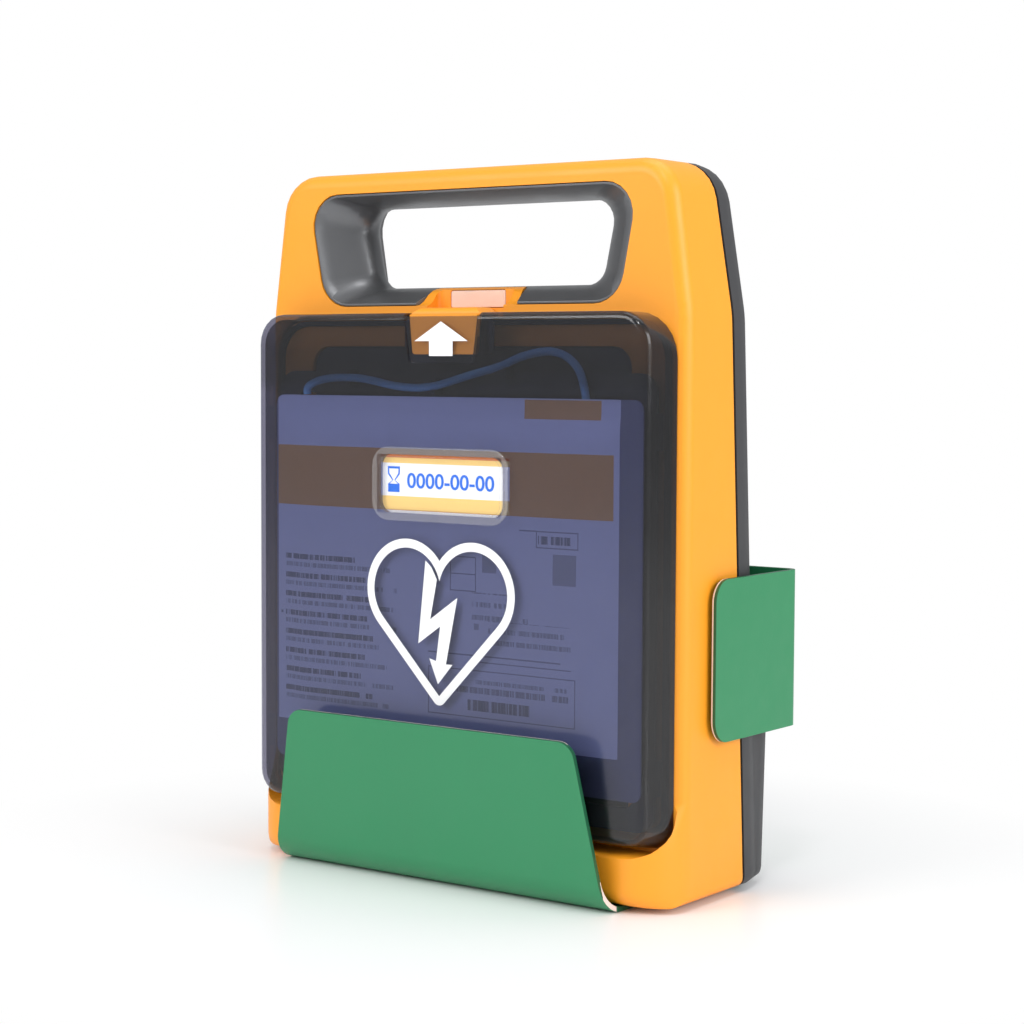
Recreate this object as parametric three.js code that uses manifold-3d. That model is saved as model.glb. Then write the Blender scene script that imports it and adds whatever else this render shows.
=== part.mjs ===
// A public-access defibrillator standing in its folded sheet-metal wall bracket.
// Millimetres, +Z up. The front faces -Y and +X is the viewer's right. While the pieces are shaped,
// z = 0 is the bracket's underside and y = 0 is the face of the housing above the lid. The last group
// moves the whole part so that the origin lies under the middle of its box.
import * as THREE from 'three';
import { mergeVertices } from 'three/addons/utils/BufferGeometryUtils.js';
import Module from 'manifold-3d';

const wasm = await Module();
wasm.setup();

// Clearances shared by the pieces
const seatGap = 0.3; // between two pieces that touch
const slideGap = 0.4; // round a piece that moves
const bite = 0.5; // two shapes joined into one run this far into each other
const past = 1; // a cutting shape runs this far past a wall
const overrun = 5; // and this far past a whole piece

// Wall bracket, one folded sheet
const sheet = 2;
const plateRearY = 81.5; // the face against the wall
const lipFootY = -21; // outer face of the front lip, carried down to the underside
const lipLean = 0.081; // forward travel for each millimetre of height
const lipTopZ = 66;
const lipTopHalfWidth = 71;
const bracketHalfWidth = 83.5;
const lipCorner = 10;
const lipBend = 10; // inside radius of the fold below the lip
const plateBend = 5; // inside radius of the fold below the back plate
const wingBend = 3;
const wingClearance = 2; // between a side wing and the housing
const wingFrontY = 16.5;
const wingBottomZ = 63.5;
const wingTopZ = 127;
const wingCorner = 9;
const keyholeX = 60;
const keyholeZ = 100;
const keyholeHead = 5;
const keyholeShank = 2.6;
const keyholeRise = 9;
const lowerHoleZ = 34;

// Housing of the unit
const bodyHalfWidth = 105;
const bodyTopZ = 288;
const bodyTaper = 8; // the top is this much narrower at each side
const bodyTopCorner = 17;
const bodyFootCorner = 4;
const shoulderRadius = 60;
const frontEdge = 6;
const wall = 2.8;
const seamFootY = 46.8; // parting face of the front and rear housings at the unit's foot
const seamLean = 0.058; // the parting face comes forward with height
const rearDepth = 19; // rear housing behind the parting face, above the battery bay
const rearEdge = 14;
const seamGasketHeight = 0.9;
const seamGasketWidth = 2;
const seamGasketDepth = 0.7; // below the outer surface

// Chin under the lid
const chinFrontY = -14;
const chinEdge = 7;
const chinRise = 22; // its horns run out beside the lid's lower corners over this height
const nestGap = 1.4; // between the lid and the horns
const nestFlare = 2.2;
const nestRound = 0.3; // the flare's middle station, as a share of it
const chinRoomCorner = 4;
const chinRoomEdge = 3;

// Battery bulge at the back
const bulgeDraw = 2; // narrower than the body at each side
const bulgeRearY = 78.6; // at the bulge's top
const bulgeLean = 4; // its back comes forward this much towards the foot
const bulgeEdge = 15;
const bulgeTopZ = 98;
const bulgeRamp = 22; // the top slopes up this much towards the seam

// Handle opening
const topBar = 8.5; // housing above the opening
const handleHeight = 46.8;
const handleTopDraw = 14; // its top corners, in from the top of the body
const handleTopCorner = 13;
const handleFootDraw = 23;
const handleFootCorner = 14;
const throatY = 17.6; // the narrowest place
const throatTopDraw = 19.5; // the throat's corners, in from those of the front edge
const throatFootDraw = 17.5;
const throatTopFall = 5.8;
const throatFootRise = 7.9;
const throatCorner = 9;
const mouthY = 52.5; // the rear mouth that the throat opens out to
const mouthTopSpread = 24.5; // its corners, out from those of the throat
const mouthFootSpread = 23.5;
const mouthTopRise = 7;
const mouthFootFall = 9;
const mouthCorner = 14;
const throatCurve = [
  // along from the throat to the mouth, and how far it has opened there
  [0, 0],
  [0.08, 0.02],
  [0.16, 0.08],
  [1, 1],
  [1.4, 1.45],
];
const gripLipY = 0.5;
const gripLipThickness = 0.9;
const gripFlange = 3;
const gripSteps = 6; // rings along its flare
const sleeveWall = 2.2;

// Status window, upright in a scooped tongue over the handle's lower bar
const tongueHalfWidth = 25.5;
const tongueTopHalfWidth = 21.5;
const tongueDepth = 12.5;
const tongueCurve = [0, 0.4, 1.9, 4.5, 6.3, 7.1, 7.5]; // rise of its cheeks from front to rear
const scoopHalfWidth = 19.3;
const scoopDepth = 9;
const scoopCorner = 2.5;
const scoopSunk = 1.7; // its floor below the opening's foot
const windowHalfWidth = 14;
const windowHeight = 7.4;
const windowThickness = 1.8;
const windowCorner = 1.2;
const windowSill = 0.8; // above the scoop's floor

// Lid
const lidMargin = 4; // the lid's sides, in from the body's
const lidFootZ = 24;
const lowerBar = 3.2; // housing between the lid and the handle opening
const lidFrontY = -16;
const lidEdge = 3;
const lidSideDraw = 4; // its sides draw in this much from the rim to the front
const lidFootDraw = 3; // and its foot rises this much
const lidTopCorner = 18; // at the rim
const lidTopCornerDraw = 6; // tighter at the front
const lidFootCorner = 10;
const lidWall = 2.2;
const lidGasketWidth = 2;
const lidGasketProud = 1.5;
const lidGasketSunk = 0.8;
const lidGasketRise = 3.2; // its lower run is raised clear of the lid's turning rim

// Window over the expiry date
const dateZ = 160.9;
const dateHalfWidth = 34.2;
const dateHalfHeight = 14.9;
const dateCorner = 8;
const dateFrame = 3.1;
const dateProud = 0.9;
const dateEdge = 0.6;
const dateStep = 0.8; // between the frame and the pane

// Lid hinge
const hingeY = -13;
const hingeZ = 23;
const knuckleRadius = 3;
const hingeX = 45;
const housingKnuckle = 14;
const lidKnuckle = 8;
const pinRadius = 1.2;
const hingeSweep = 7; // room cut round a housing knuckle
const knuckleRoot = 6; // a housing knuckle's stem reaches this far into the chin

// Latch in the lid
const latchDrop = 16.5; // its plate hangs this far below the lid's top
const latchFootHalfWidth = 15.5;
const latchTopHalfWidth = 17;
const latchFootCorner = 1.5;
const latchThickness = 3;
const railHalfWidth = 1.5;
const shelfHalfWidth = 18.6;
const shelfTopHalfWidth = 13.5;
const shelfRise = 2.1; // above the lid's top
const shelfSunk = 1.1; // below the lid's top
const shelfSetBack = 1.6; // behind the plate's face
const shelfLean = 3; // its front face leans back this much
const shelfUpright = 0.2; // share of its height below the rounded face
const shelfChamfer = 0.4;
const shelfCorner = 2;
const shelfRearY = -1;
const dishHeight = 20;
const dishFootHalfWidth = 16;
const dishTopHalfWidth = 19.3;
const dishDepth = 0.5;
const dishFloor = 1.1;
const dishCheek = 1.5;
const dishFootCorner = 2;
const hookHalfWidth = 7;
const hookDrop = 8.5; // the hook's underside below the lid's top
const hookHeight = 3;
const hookNose = 1.2;
const hookReachY = 5.2;
const strikeHalfWidth = 9.5;
const latchCoverThickness = 1.4;
const latchCoverHalfWidth = 22;
const latchCoverCorner = 2;
const latchTravel = 4;

// Control panel behind the lid
const panelMargin = 21; // its sides, in from the lid's
const panelFootZ = 32;
const panelDrop = 13.5; // its top below the lid's top
const panelCorner = 8;
const panelFaceY = 1;
const panelPlate = 2.5;
const panelFlange = 3;
const panelEdge = 0.8;
const flangeWidth = 2; // of the buttons and the socket behind the panel
const flangeThickness = 1.5;
const shockX = 0;
const shockZ = 90;
const shockRadius = 21;
const shockProud = 1.2;
const infoInset = 22; // in from the panel's side
const infoZ = 90;
const infoRadius = 9;
const childInset = 22; // in from the panel's side
const childZ = 90;
const childTravel = 9;
const childProud = 0.9;
const childEdge = 0.6;
const childKnobHalfWidth = 4.5;
const childKnobHalfHeight = 5;
const childSlotMargin = 1.5;
const childPlateMargin = 2.5; // above and below the knob
const grilleZ = 47;
const grilleSlots = 7;
const grillePitch = 5;
const grilleSlotWidth = 2.4;
const grilleSlotHeight = 18;
const grilleCorner = 1.1;
const socketInset = 28; // its middle, in from the panel's side
const socketDrop = 32; // and below the panel's top
const socketHalfWidth = 17;
const socketHalfHeight = 9;
const socketWall = 2;
const socketProud = 0.2;
const socketCorner = 4;
const socketPinX = 6; // either side of the socket's middle
const socketPinRadius = 1.6;
const socketPinDepth = 6; // of a pin's tip

// Inside the housing
const boardY = 14;
const boardThickness = 1.6;
const boardDraw = 2; // its sides, in from the panel's
const boardFootZ = 98;
const boardDrop = 8; // its top below the panel's top
const boardPostRadius = 3.5;
const boardPostInset = 8;
const speakerRadius = 17;
const speakerDepth = 9;
const speakerRim = 2;
const speakerCone = 6;
const speakerMagnetRadius = 10.2;
const capacitorRadius = 13;
const capacitorLength = 62;
const capacitorX = -38;
const capacitorZ = 150;
const capacitorClearance = 2; // from the back wall
const cradleWall = 2.5;
const cradleWidth = 10;

// Battery
const batteryHalfWidth = 62;
const batteryFootZ = 16;
const batteryTopZ = 86;
const batteryFrontY = 50;
const batteryCorner = 4;
const batteryLatchHalfWidth = 14;
const batteryLatchHeight = 10;
const batteryLatchTravel = 3;
const latchSunk = 1.6; // its face below the bulge
const ribSunk = 0.6;
const ribMargin = 3;
const ribFoot = 2;
const ribPitch = 2.6;
const ribHeight = 1.2;
const boltHalfWidth = 8;
const boltRise = 1.6;
const boltThickness = 2.4;

// Case screws
const screwMargin = 16.5; // in from the body's sides
const upperScrewX = 60;
const lowerScrewZ = 40;
const middleScrewZ = 150;
const upperScrewDrop = 5.2; // below the lid's top
const screwSeat = 8; // from the parting face back to the head
const screwHeadRadius = 3.1;
const screwHeadHeight = 2.4;
const screwShankRadius = 1.5;
const recessReach = 1.8; // arms of the cross recess
const recessHalfWidth = 0.4;
const recessDepth = 1.2;
const screwReach = 12; // shank in front of the parting face
const postRadius = 4.6;
const wellWall = 1.8;
const pilotPast = 2; // a pilot hole is this much deeper than its screw

// Pads held in the lid
const pouchLeftMargin = 10; // in from the lid's sides
const pouchRightMargin = 8;
const pouchFootZ = 43;
const pouchDrop = 33.5; // its top below the lid's top
const pouchThickness = 4.6;
const pouchEdge = 2.2;
const pouchCorner = 4;
const retainerThickness = 1.6;
const retainerRearY = -2.8;
const retainerMargin = 6.5; // in from the lid's sides
const retainerFootZ = 30;
const retainerRise = 10; // above the pouch's top
const retainerBar = 9;
const retainerCorner = 8;
const retainerWindowCorner = 5;
const retainerTabInset = 22; // a tab's middle, in from the frame's ends
const retainerTabHalfHeight = 7;
const leadRadius = 1.6;
const clipWall = 1.2; // of the clips that hold the lead
const clipHalfWidth = 3;
const plugHalfLength = 19;
const plugHeight = 10;
const plugThickness = 6.4;
const plugCorner = 2.5;
const plugEdge = 1.5;
const plugX = 16;
const plugY = -8;
const plugZ = 36;

// Sizes that follow from those above
const bodyFootZ = sheet + seatGap;
const bodyTopHalfWidth = bodyHalfWidth - bodyTaper;
const handleTopZ = bodyTopZ - topBar;
const handleFootZ = handleTopZ - handleHeight;
const handleTopHalfWidth = bodyTopHalfWidth - handleTopDraw;
const handleFootHalfWidth = bodyTopHalfWidth - handleFootDraw;
const throatTopZ = handleTopZ - throatTopFall;
const throatFootZ = handleFootZ + throatFootRise;
const throatTopHalfWidth = handleTopHalfWidth - throatTopDraw;
const throatFootHalfWidth = handleFootHalfWidth - throatFootDraw;
const scoopFloorZ = handleFootZ - scoopSunk;
const lidTopZ = handleFootZ - lowerBar;
const lidHalfWidth = bodyHalfWidth - lidMargin;
const shoulderZ = lidTopZ - 0.5; // the sides taper above this height
const bulgeHalfWidth = bodyHalfWidth - bulgeDraw;
const panelHalfWidth = lidHalfWidth - panelMargin;
const panelTopZ = lidTopZ - panelDrop;
const infoX = infoInset - panelHalfWidth;
const childX = panelHalfWidth - childInset;
const socketX = panelHalfWidth - socketInset;
const socketZ = panelTopZ - socketDrop;
const boardHalfWidth = panelHalfWidth - boardDraw;
const boardTopZ = panelTopZ - boardDrop;
const screwX = bodyHalfWidth - screwMargin;
const pouchLeftX = pouchLeftMargin - lidHalfWidth;
const pouchRightX = lidHalfWidth - pouchRightMargin;
const pouchTopZ = lidTopZ - pouchDrop;
const retainerHalfWidth = lidHalfWidth - retainerMargin;
const retainerTopZ = pouchTopZ + retainerRise;
const latchFootZ = lidTopZ - latchDrop;
const hookFootZ = lidTopZ - hookDrop;
const shelfFootZ = lidTopZ - shelfSunk;
const shelfTopZ = lidTopZ + shelfRise;
const dishFootZ = lidTopZ - dishHeight;
const plateFrontY = plateRearY - sheet;
const wingInnerX = bodyHalfWidth + wingClearance;
const wingOuterX = wingInnerX + sheet;
const seamY = (z) => seamFootY - seamLean * (z - bodyFootZ);
const frontEndY = (z) => seamY(z) - seamGasketHeight - seatGap;
const rearStartY = (z) => seamY(z) + seatGap;
const slimRearY = (z) => seamY(z) + rearDepth;
const hingeReach = housingKnuckle / 2 + slideGap + lidKnuckle;
const lidRearY = -seatGap;
const lidInnerY = lidFrontY + lidWall;
const dishInnerY = lidFrontY + dishDepth + dishFloor;
const latchFrontY = dishInnerY + seatGap;
const latchRearY = latchFrontY + latchThickness;
const pouchFrontY = lidInnerY + seatGap * 2;
const pouchRearY = pouchFrontY + pouchThickness;
const leadBackY = pouchRearY + seatGap + leadRadius;
const lidTaper = (y) => (lidRearY - y) / (lidRearY - lidFrontY); // 0 at the rim, 1 at the front
const batteryLatchY = bulgeRearY - 6 + seatGap;
const panelPlateY = wall + seatGap;
const panelBackY = panelPlateY + panelPlate;

// Finishes
const finish = (color, roughness, metalness = 0, opacity = 1) =>
  new THREE.MeshStandardMaterial({ color, roughness, metalness, opacity, transparent: opacity < 1 });
const finishes = {
  orange: finish(0xfdb24a, 0.42),
  darkGrey: finish(0x505053, 0.55),
  gripGrey: finish(0x45474a, 0.4),
  smoke: finish(0x20242e, 0.12, 0, 0.6),
  clear: finish(0xf2f4f6, 0.08, 0, 0.4),
  greenSteel: finish(0x2f8a5c, 0.35, 0.1),
  steel: finish(0xb8bbbe, 0.3, 1),
  rubber: finish(0x232427, 0.8),
  panel: finish(0x2c2e31, 0.6),
  button: finish(0xf07a1c, 0.35),
  board: finish(0x1f5a3a, 0.5),
  paleWindow: finish(0xf3d9cf, 0.25, 0, 0.8),
  foil: finish(0xdfe2e6, 0.4),
  lead: finish(0x4b86c9, 0.5),
};

const ARC_STEPS = 6; // facets round each corner of an outline
const EDGE_STEPS = 5; // facets round an edge
const ROUND_STEPS = 28; // facets round a circle
const PIN_STEPS = 24; // facets round a hinge pin and its knuckles
const BUTTON_STEPS = 40;
const POST_STEPS = 16;
const SCREW_STEPS = 14; // facets round a screw's head and its well
const SHANK_STEPS = 10;

// Outlines in the XZ plane: corners are [x, z, radius], anticlockwise seen from the front. Every
// outline of the same number of corners has the same number of points, so they can be lofted.
function outline(corners, inset = 0) {
  const count = corners.length;
  const points = [];
  const at = (i) => {
    const [x, z] = corners[(i + count) % count];
    return new THREE.Vector2(x, z);
  };
  for (let i = 0; i < count; i += 1) {
    const back = at(i - 1).sub(at(i)).normalize();
    const ahead = at(i + 1).sub(at(i)).normalize();
    const half = Math.acos(THREE.MathUtils.clamp(back.dot(ahead), -1, 1)) / 2;
    const turn = Math.sign(ahead.x * back.y - ahead.y * back.x);
    const inward = back.clone().add(ahead).normalize().multiplyScalar(turn);
    const radius = Math.max(corners[i][2] - inset * turn, 0.3);
    const corner = at(i).addScaledVector(inward, inset / Math.sin(half));
    const centre = corner.clone().addScaledVector(inward, (turn * radius) / Math.sin(half));
    const start = corner.clone().addScaledVector(back, radius / Math.tan(half)).sub(centre);
    const sweep = turn * (Math.PI - 2 * half);
    for (let step = 0; step <= ARC_STEPS; step += 1) {
      const spoke = start.clone().rotateAround(new THREE.Vector2(), (sweep * step) / ARC_STEPS);
      points.push(spoke.add(centre));
    }
  }
  return points;
}

/** Corners of an outline that is the same on both sides of x = 0, from its right-hand corners. */
function mirrored(right) {
  const left = right.map(([x, z, radius]) => [-x, z, radius]).reverse();
  return [...right, ...left];
}

/** A closed solid through rings of points, each ring set behind the one before it. */
function loft(rings) {
  const count = rings[0].length;
  const positions = rings.flatMap((ring) => ring.flatMap((p) => [p.x, p.y, p.z]));
  const faces = [];
  for (let r = 0; r + 1 < rings.length; r += 1) {
    for (let i = 0; i < count; i += 1) {
      const a = r * count + i;
      const b = r * count + ((i + 1) % count);
      faces.push(a, a + count, b + count, a, b + count, b);
    }
  }
  const cap = (ring, base, flip) => {
    const middle = positions.length / 3;
    const centre = ring.reduce((sum, p) => sum.add(p), new THREE.Vector3()).divideScalar(count);
    positions.push(centre.x, centre.y, centre.z);
    for (let i = 0; i < count; i += 1) {
      const a = base + i;
      const b = base + ((i + 1) % count);
      faces.push(middle, flip ? b : a, flip ? a : b);
    }
  };
  cap(rings[0], 0, false);
  cap(rings[rings.length - 1], count * (rings.length - 1), true);
  const geometry = new THREE.BufferGeometry();
  geometry.setAttribute('position', new THREE.Float32BufferAttribute(positions, 3));
  geometry.setIndex(faces);
  return solid(geometry);
}

/** A manifold solid from a closed three.js geometry. */
function solid(geometry) {
  const bare = geometry.clone();
  bare.deleteAttribute('normal');
  bare.deleteAttribute('uv');
  const merged = mergeVertices(bare, 1e-4);
  const faces = [];
  for (let i = 0; i < merged.index.count; i += 3) {
    const [a, b, c] = merged.index.array.subarray(i, i + 3);
    if (a !== b && b !== c && c !== a) faces.push(a, b, c);
  }
  const mesh = new wasm.Mesh({
    numProp: 3,
    vertProperties: new Float32Array(merged.attributes.position.array),
    triVerts: new Uint32Array(faces),
  });
  return new wasm.Manifold(mesh);
}

const constant = (value) => (typeof value === 'function' ? value : () => value);

/** A slab of an outline between two faces, each a y or a function of z, with rounded edges. */
function slab(corners, front, rear, { frontEdge: f = 0, rearEdge: b = 0, inset = 0 } = {}) {
  const frontY = constant(front);
  const rearY = constant(rear);
  const rings = [];
  const ring = (draw, y) =>
    outline(corners, inset + draw).map((p) => new THREE.Vector3(p.x, y(p.y), p.y));
  const steps = (radius) => (radius > 0 ? EDGE_STEPS : 0);
  for (let i = 0; i <= steps(f); i += 1) {
    const angle = f > 0 ? (Math.PI / 2) * (i / EDGE_STEPS) : 0;
    rings.push(ring(f * (1 - Math.sin(angle)), (z) => frontY(z) + f * (1 - Math.cos(angle))));
  }
  for (let i = steps(b); i >= 0; i -= 1) {
    const angle = b > 0 ? (Math.PI / 2) * (i / EDGE_STEPS) : 0;
    rings.push(ring(b * (1 - Math.sin(angle)), (z) => rearY(z) - b * (1 - Math.cos(angle))));
  }
  return loft(rings);
}

/** A rectangular block between two corners. */
function block([x0, x1], [y0, y1], [z0, z1]) {
  const box = new THREE.BoxGeometry(x1 - x0, y1 - y0, z1 - z0);
  return solid(box.translate((x0 + x1) / 2, (y0 + y1) / 2, (z0 + z1) / 2));
}

/** A rod along Y between two depths. */
function rodY(x, z, radius, y0, y1, steps = ROUND_STEPS) {
  const rod = new THREE.CylinderGeometry(radius, radius, y1 - y0, steps);
  return solid(rod.translate(x, (y0 + y1) / 2, z));
}

/** A rod along X between two sides. */
function rodX(y, z, radius, x0, x1, steps = ROUND_STEPS) {
  const rod = new THREE.CylinderGeometry(radius, radius, x1 - x0, steps).rotateZ(Math.PI / 2);
  return solid(rod.translate((x0 + x1) / 2, y, z));
}

/** A prism of a flat shape in the YZ plane, between two sides. */
function prismX(points, x0, x1) {
  const shape = new THREE.Shape(points.map(([y, z]) => new THREE.Vector2(y, z)));
  const prism = new THREE.ExtrudeGeometry(shape, { depth: x1 - x0, bevelEnabled: false });
  const turn = new THREE.Matrix4().makeBasis(
    new THREE.Vector3(0, 1, 0),
    new THREE.Vector3(0, 0, 1),
    new THREE.Vector3(1, 0, 0),
  );
  return solid(prism.applyMatrix4(turn).translate(x0, 0, 0));
}

const join = (first, ...rest) => rest.reduce((sum, piece) => sum.add(piece), first);
const cut = (first, ...tools) => tools.reduce((left, tool) => left.subtract(tool), first);

/** A named mesh of a solid. */
function mesh(name, piece, material) {
  const { vertProperties, triVerts } = piece.getMesh();
  const geometry = new THREE.BufferGeometry();
  geometry.setAttribute('position', new THREE.BufferAttribute(new Float32Array(vertProperties), 3));
  geometry.setIndex(new THREE.BufferAttribute(new Uint32Array(triVerts), 1));
  geometry.computeVertexNormals();
  const made = new THREE.Mesh(geometry, material);
  made.name = name;
  return made;
}

// Outlines of the main pieces
const bodyCorners = mirrored([
  [bodyHalfWidth, bodyFootZ, bodyFootCorner],
  [bodyHalfWidth, shoulderZ, shoulderRadius],
  [bodyTopHalfWidth, bodyTopZ, bodyTopCorner],
]);
const handleCorners = mirrored([
  [handleFootHalfWidth, handleFootZ, handleFootCorner],
  [handleTopHalfWidth, handleTopZ, handleTopCorner],
]);
const throatCorners = mirrored([
  [throatFootHalfWidth, throatFootZ, throatCorner],
  [throatTopHalfWidth, throatTopZ, throatCorner],
]);
const mouthCorners = mirrored([
  [throatFootHalfWidth + mouthFootSpread, throatFootZ - mouthFootFall, mouthCorner],
  [throatTopHalfWidth + mouthTopSpread, throatTopZ + mouthTopRise, mouthCorner],
]);
const lidCorners = mirrored([
  [lidHalfWidth, lidFootZ, lidFootCorner],
  [lidHalfWidth, lidTopZ, lidTopCorner],
]);
const gasketCorners = mirrored([
  [lidHalfWidth, lidFootZ + lidGasketRise, lidFootCorner],
  [lidHalfWidth, lidTopZ, lidTopCorner],
]);
const panelCorners = mirrored([
  [panelHalfWidth, panelFootZ, panelCorner],
  [panelHalfWidth, panelTopZ, panelCorner],
]);
const rectangle = (halfWidth, z0, z1, radius, x = 0) => [
  [x + halfWidth, z0, radius],
  [x + halfWidth, z1, radius],
  [x - halfWidth, z1, radius],
  [x - halfWidth, z0, radius],
];

const socketCorners = rectangle(
  socketHalfWidth,
  socketZ - socketHalfHeight,
  socketZ + socketHalfHeight,
  socketCorner,
  socketX,
);
const dateOutline = (draw) =>
  rectangle(
    dateHalfWidth - draw,
    dateZ - dateHalfHeight + draw,
    dateZ + dateHalfHeight - draw,
    dateCorner - draw,
  );
const dateCorners = dateOutline(0);
const datePane = dateOutline(dateFrame);

/** Points of a quarter bend of a sheet, from one direction to the next, round a centre. */
function bend([cy, cz], radius, fromAngle, toAngle) {
  const points = [];
  for (let i = 0; i <= EDGE_STEPS; i += 1) {
    const angle = fromAngle + ((toAngle - fromAngle) * i) / EDGE_STEPS;
    points.push([cy + radius * Math.cos(angle), cz + radius * Math.sin(angle)]);
  }
  return points;
}

/** The bracket: a lip, a bottom and a back plate folded from one sheet, with two side wings. */
function wallBracket() {
  const leanAngle = Math.atan(lipLean);
  const lipOuter = lipBend + sheet;
  const plateOuter = plateBend + sheet;
  const lipBendY = lipFootY + lipOuter * (Math.cos(leanAngle) - lipLean * (1 - Math.sin(leanAngle)));
  const lipCentre = [lipBendY, lipOuter];
  const rearCentre = [plateRearY - plateOuter, plateOuter];
  const lipOuterTopY = lipFootY - lipLean * lipTopZ;
  const down = -Math.PI / 2;
  const profile = [
    [lipOuterTopY, lipTopZ],
    ...bend(lipCentre, lipOuter, Math.PI + leanAngle, Math.PI * 1.5),
    ...bend(rearCentre, plateOuter, down, 0),
    [plateRearY, wingTopZ],
    [plateFrontY, wingTopZ],
    ...bend(rearCentre, plateBend, 0, down),
    ...bend(lipCentre, lipBend, Math.PI * 1.5, Math.PI + leanAngle),
    [lipOuterTopY + sheet, lipTopZ],
  ];
  const folded = prismX(profile, -wingInnerX, wingInnerX);
  const lipOutline = slab(
    mirrored([
      [bracketHalfWidth, -sheet, 0.3],
      [lipTopHalfWidth, lipTopZ, lipCorner],
    ]),
    lipOuterTopY - sheet,
    plateFrontY - plateOuter,
  );
  const depth = [plateFrontY - plateOuter, plateRearY];
  const backOutline = join(
    block([-bracketHalfWidth, bracketHalfWidth], depth, [-sheet, wingTopZ]),
    block([-wingInnerX, wingInnerX], depth, [wingBottomZ, wingTopZ]),
  );
  const trimmed = folded.intersect(join(lipOutline, backOutline));
  return cut(join(trimmed, wing(1), wing(-1)), ...wallHoles());
}

/** A side wing with its bend into the back plate. */
function wing(side) {
  const outer = wingBend + sheet;
  const centre = [wingOuterX - outer, plateRearY - outer];
  const plan = [
    [wingInnerX, wingFrontY],
    [wingOuterX, wingFrontY],
    ...bend(centre, outer, 0, Math.PI / 2),
    [bracketHalfWidth, plateRearY],
    [bracketHalfWidth, plateFrontY],
    ...bend(centre, wingBend, Math.PI / 2, 0),
  ];
  const shape = new THREE.Shape(plan.map(([x, y]) => new THREE.Vector2(x, y)));
  const height = wingTopZ - wingBottomZ;
  const strip = new THREE.ExtrudeGeometry(shape, { depth: height, bevelEnabled: false });
  const raised = solid(strip.translate(0, 0, wingBottomZ));
  const cornerY = wingFrontY + wingCorner;
  const face = new THREE.Shape();
  face.moveTo(plateRearY + sheet, wingBottomZ);
  face.lineTo(plateRearY + sheet, wingTopZ);
  face.lineTo(cornerY, wingTopZ);
  face.absarc(cornerY, wingTopZ - wingCorner, wingCorner, Math.PI / 2, Math.PI, false);
  face.absarc(cornerY, wingBottomZ + wingCorner, wingCorner, Math.PI, Math.PI * 1.5, false);
  const faceLine = face.getPoints(ARC_STEPS).map((p) => [p.x, p.y]);
  const rounded = raised.intersect(prismX(faceLine, 0, wingOuterX + past));
  return side > 0 ? rounded : rounded.mirror([1, 0, 0]);
}

/** Keyholes near the top of the back plate and plain holes near its foot. */
function wallHoles() {
  const through = [plateFrontY - past, plateRearY + past];
  return [-keyholeX, keyholeX].flatMap((x) => [
    rodY(x, keyholeZ, keyholeHead, ...through),
    rodY(x, keyholeZ + keyholeRise, keyholeShank, ...through, POST_STEPS),
    block([x - keyholeShank, x + keyholeShank], through, [keyholeZ, keyholeZ + keyholeRise]),
    rodY(x, lowerHoleZ, keyholeShank, ...through, POST_STEPS),
  ]);
}

const screwPlaces = [
  [screwX, lowerScrewZ],
  [screwX, middleScrewZ],
  [upperScrewX, lidTopZ - upperScrewDrop],
].flatMap(([x, z]) => [
  { x: -x, z },
  { x, z },
]);

/** The tongue that carries the status window over the handle's lower bar, grown by a clearance. */
function tongue(grow = 0) {
  const steps = tongueCurve.length - 1;
  const crest = tongueCurve.map((rise, i) => {
    const past = i === steps ? grow : 0;
    return [(tongueDepth * i) / steps + past, handleFootZ + rise + grow];
  });
  const footZ = handleFootZ - gripFlange - wall;
  const side = [[0, footZ], [tongueDepth + grow, footZ], ...crest.reverse()];
  const column = tongueColumn(grow, bodyTopZ);
  return prismX(side, -tongueHalfWidth * 2, tongueHalfWidth * 2).intersect(column);
}

/** An upright column over the tongue's plan, grown by a clearance, from z = 0 up to a height. */
function tongueColumn(grow, height) {
  const plan = new THREE.Shape([
    new THREE.Vector2(-tongueHalfWidth - grow, 0),
    new THREE.Vector2(tongueHalfWidth + grow, 0),
    new THREE.Vector2(tongueTopHalfWidth + grow, tongueDepth + grow),
    new THREE.Vector2(-tongueTopHalfWidth - grow, tongueDepth + grow),
  ]);
  return solid(new THREE.ExtrudeGeometry(plan, { depth: height, bevelEnabled: false }));
}

/** The scoop in the tongue, open to the front and to the top, with an upright back. */
function scoop() {
  const plan = new THREE.Shape(
    outline(rectangle(scoopHalfWidth, -overrun * 2, scoopDepth, scoopCorner)),
  );
  const upright = new THREE.ExtrudeGeometry(plan, { depth: tongueDepth, bevelEnabled: false });
  return solid(upright.translate(0, 0, scoopFloorZ));
}

/** The pocket for the status window in the scoop's back, or the window itself when drawn in. */
function windowPlate(draw = 0) {
  const footZ = scoopFloorZ + windowSill;
  const corners = rectangle(windowHalfWidth, footZ, footZ + windowHeight, windowCorner);
  const front = draw > 0 ? scoopDepth : scoopDepth - past;
  return slab(corners, front, scoopDepth + windowThickness - draw, { inset: draw });
}

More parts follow.
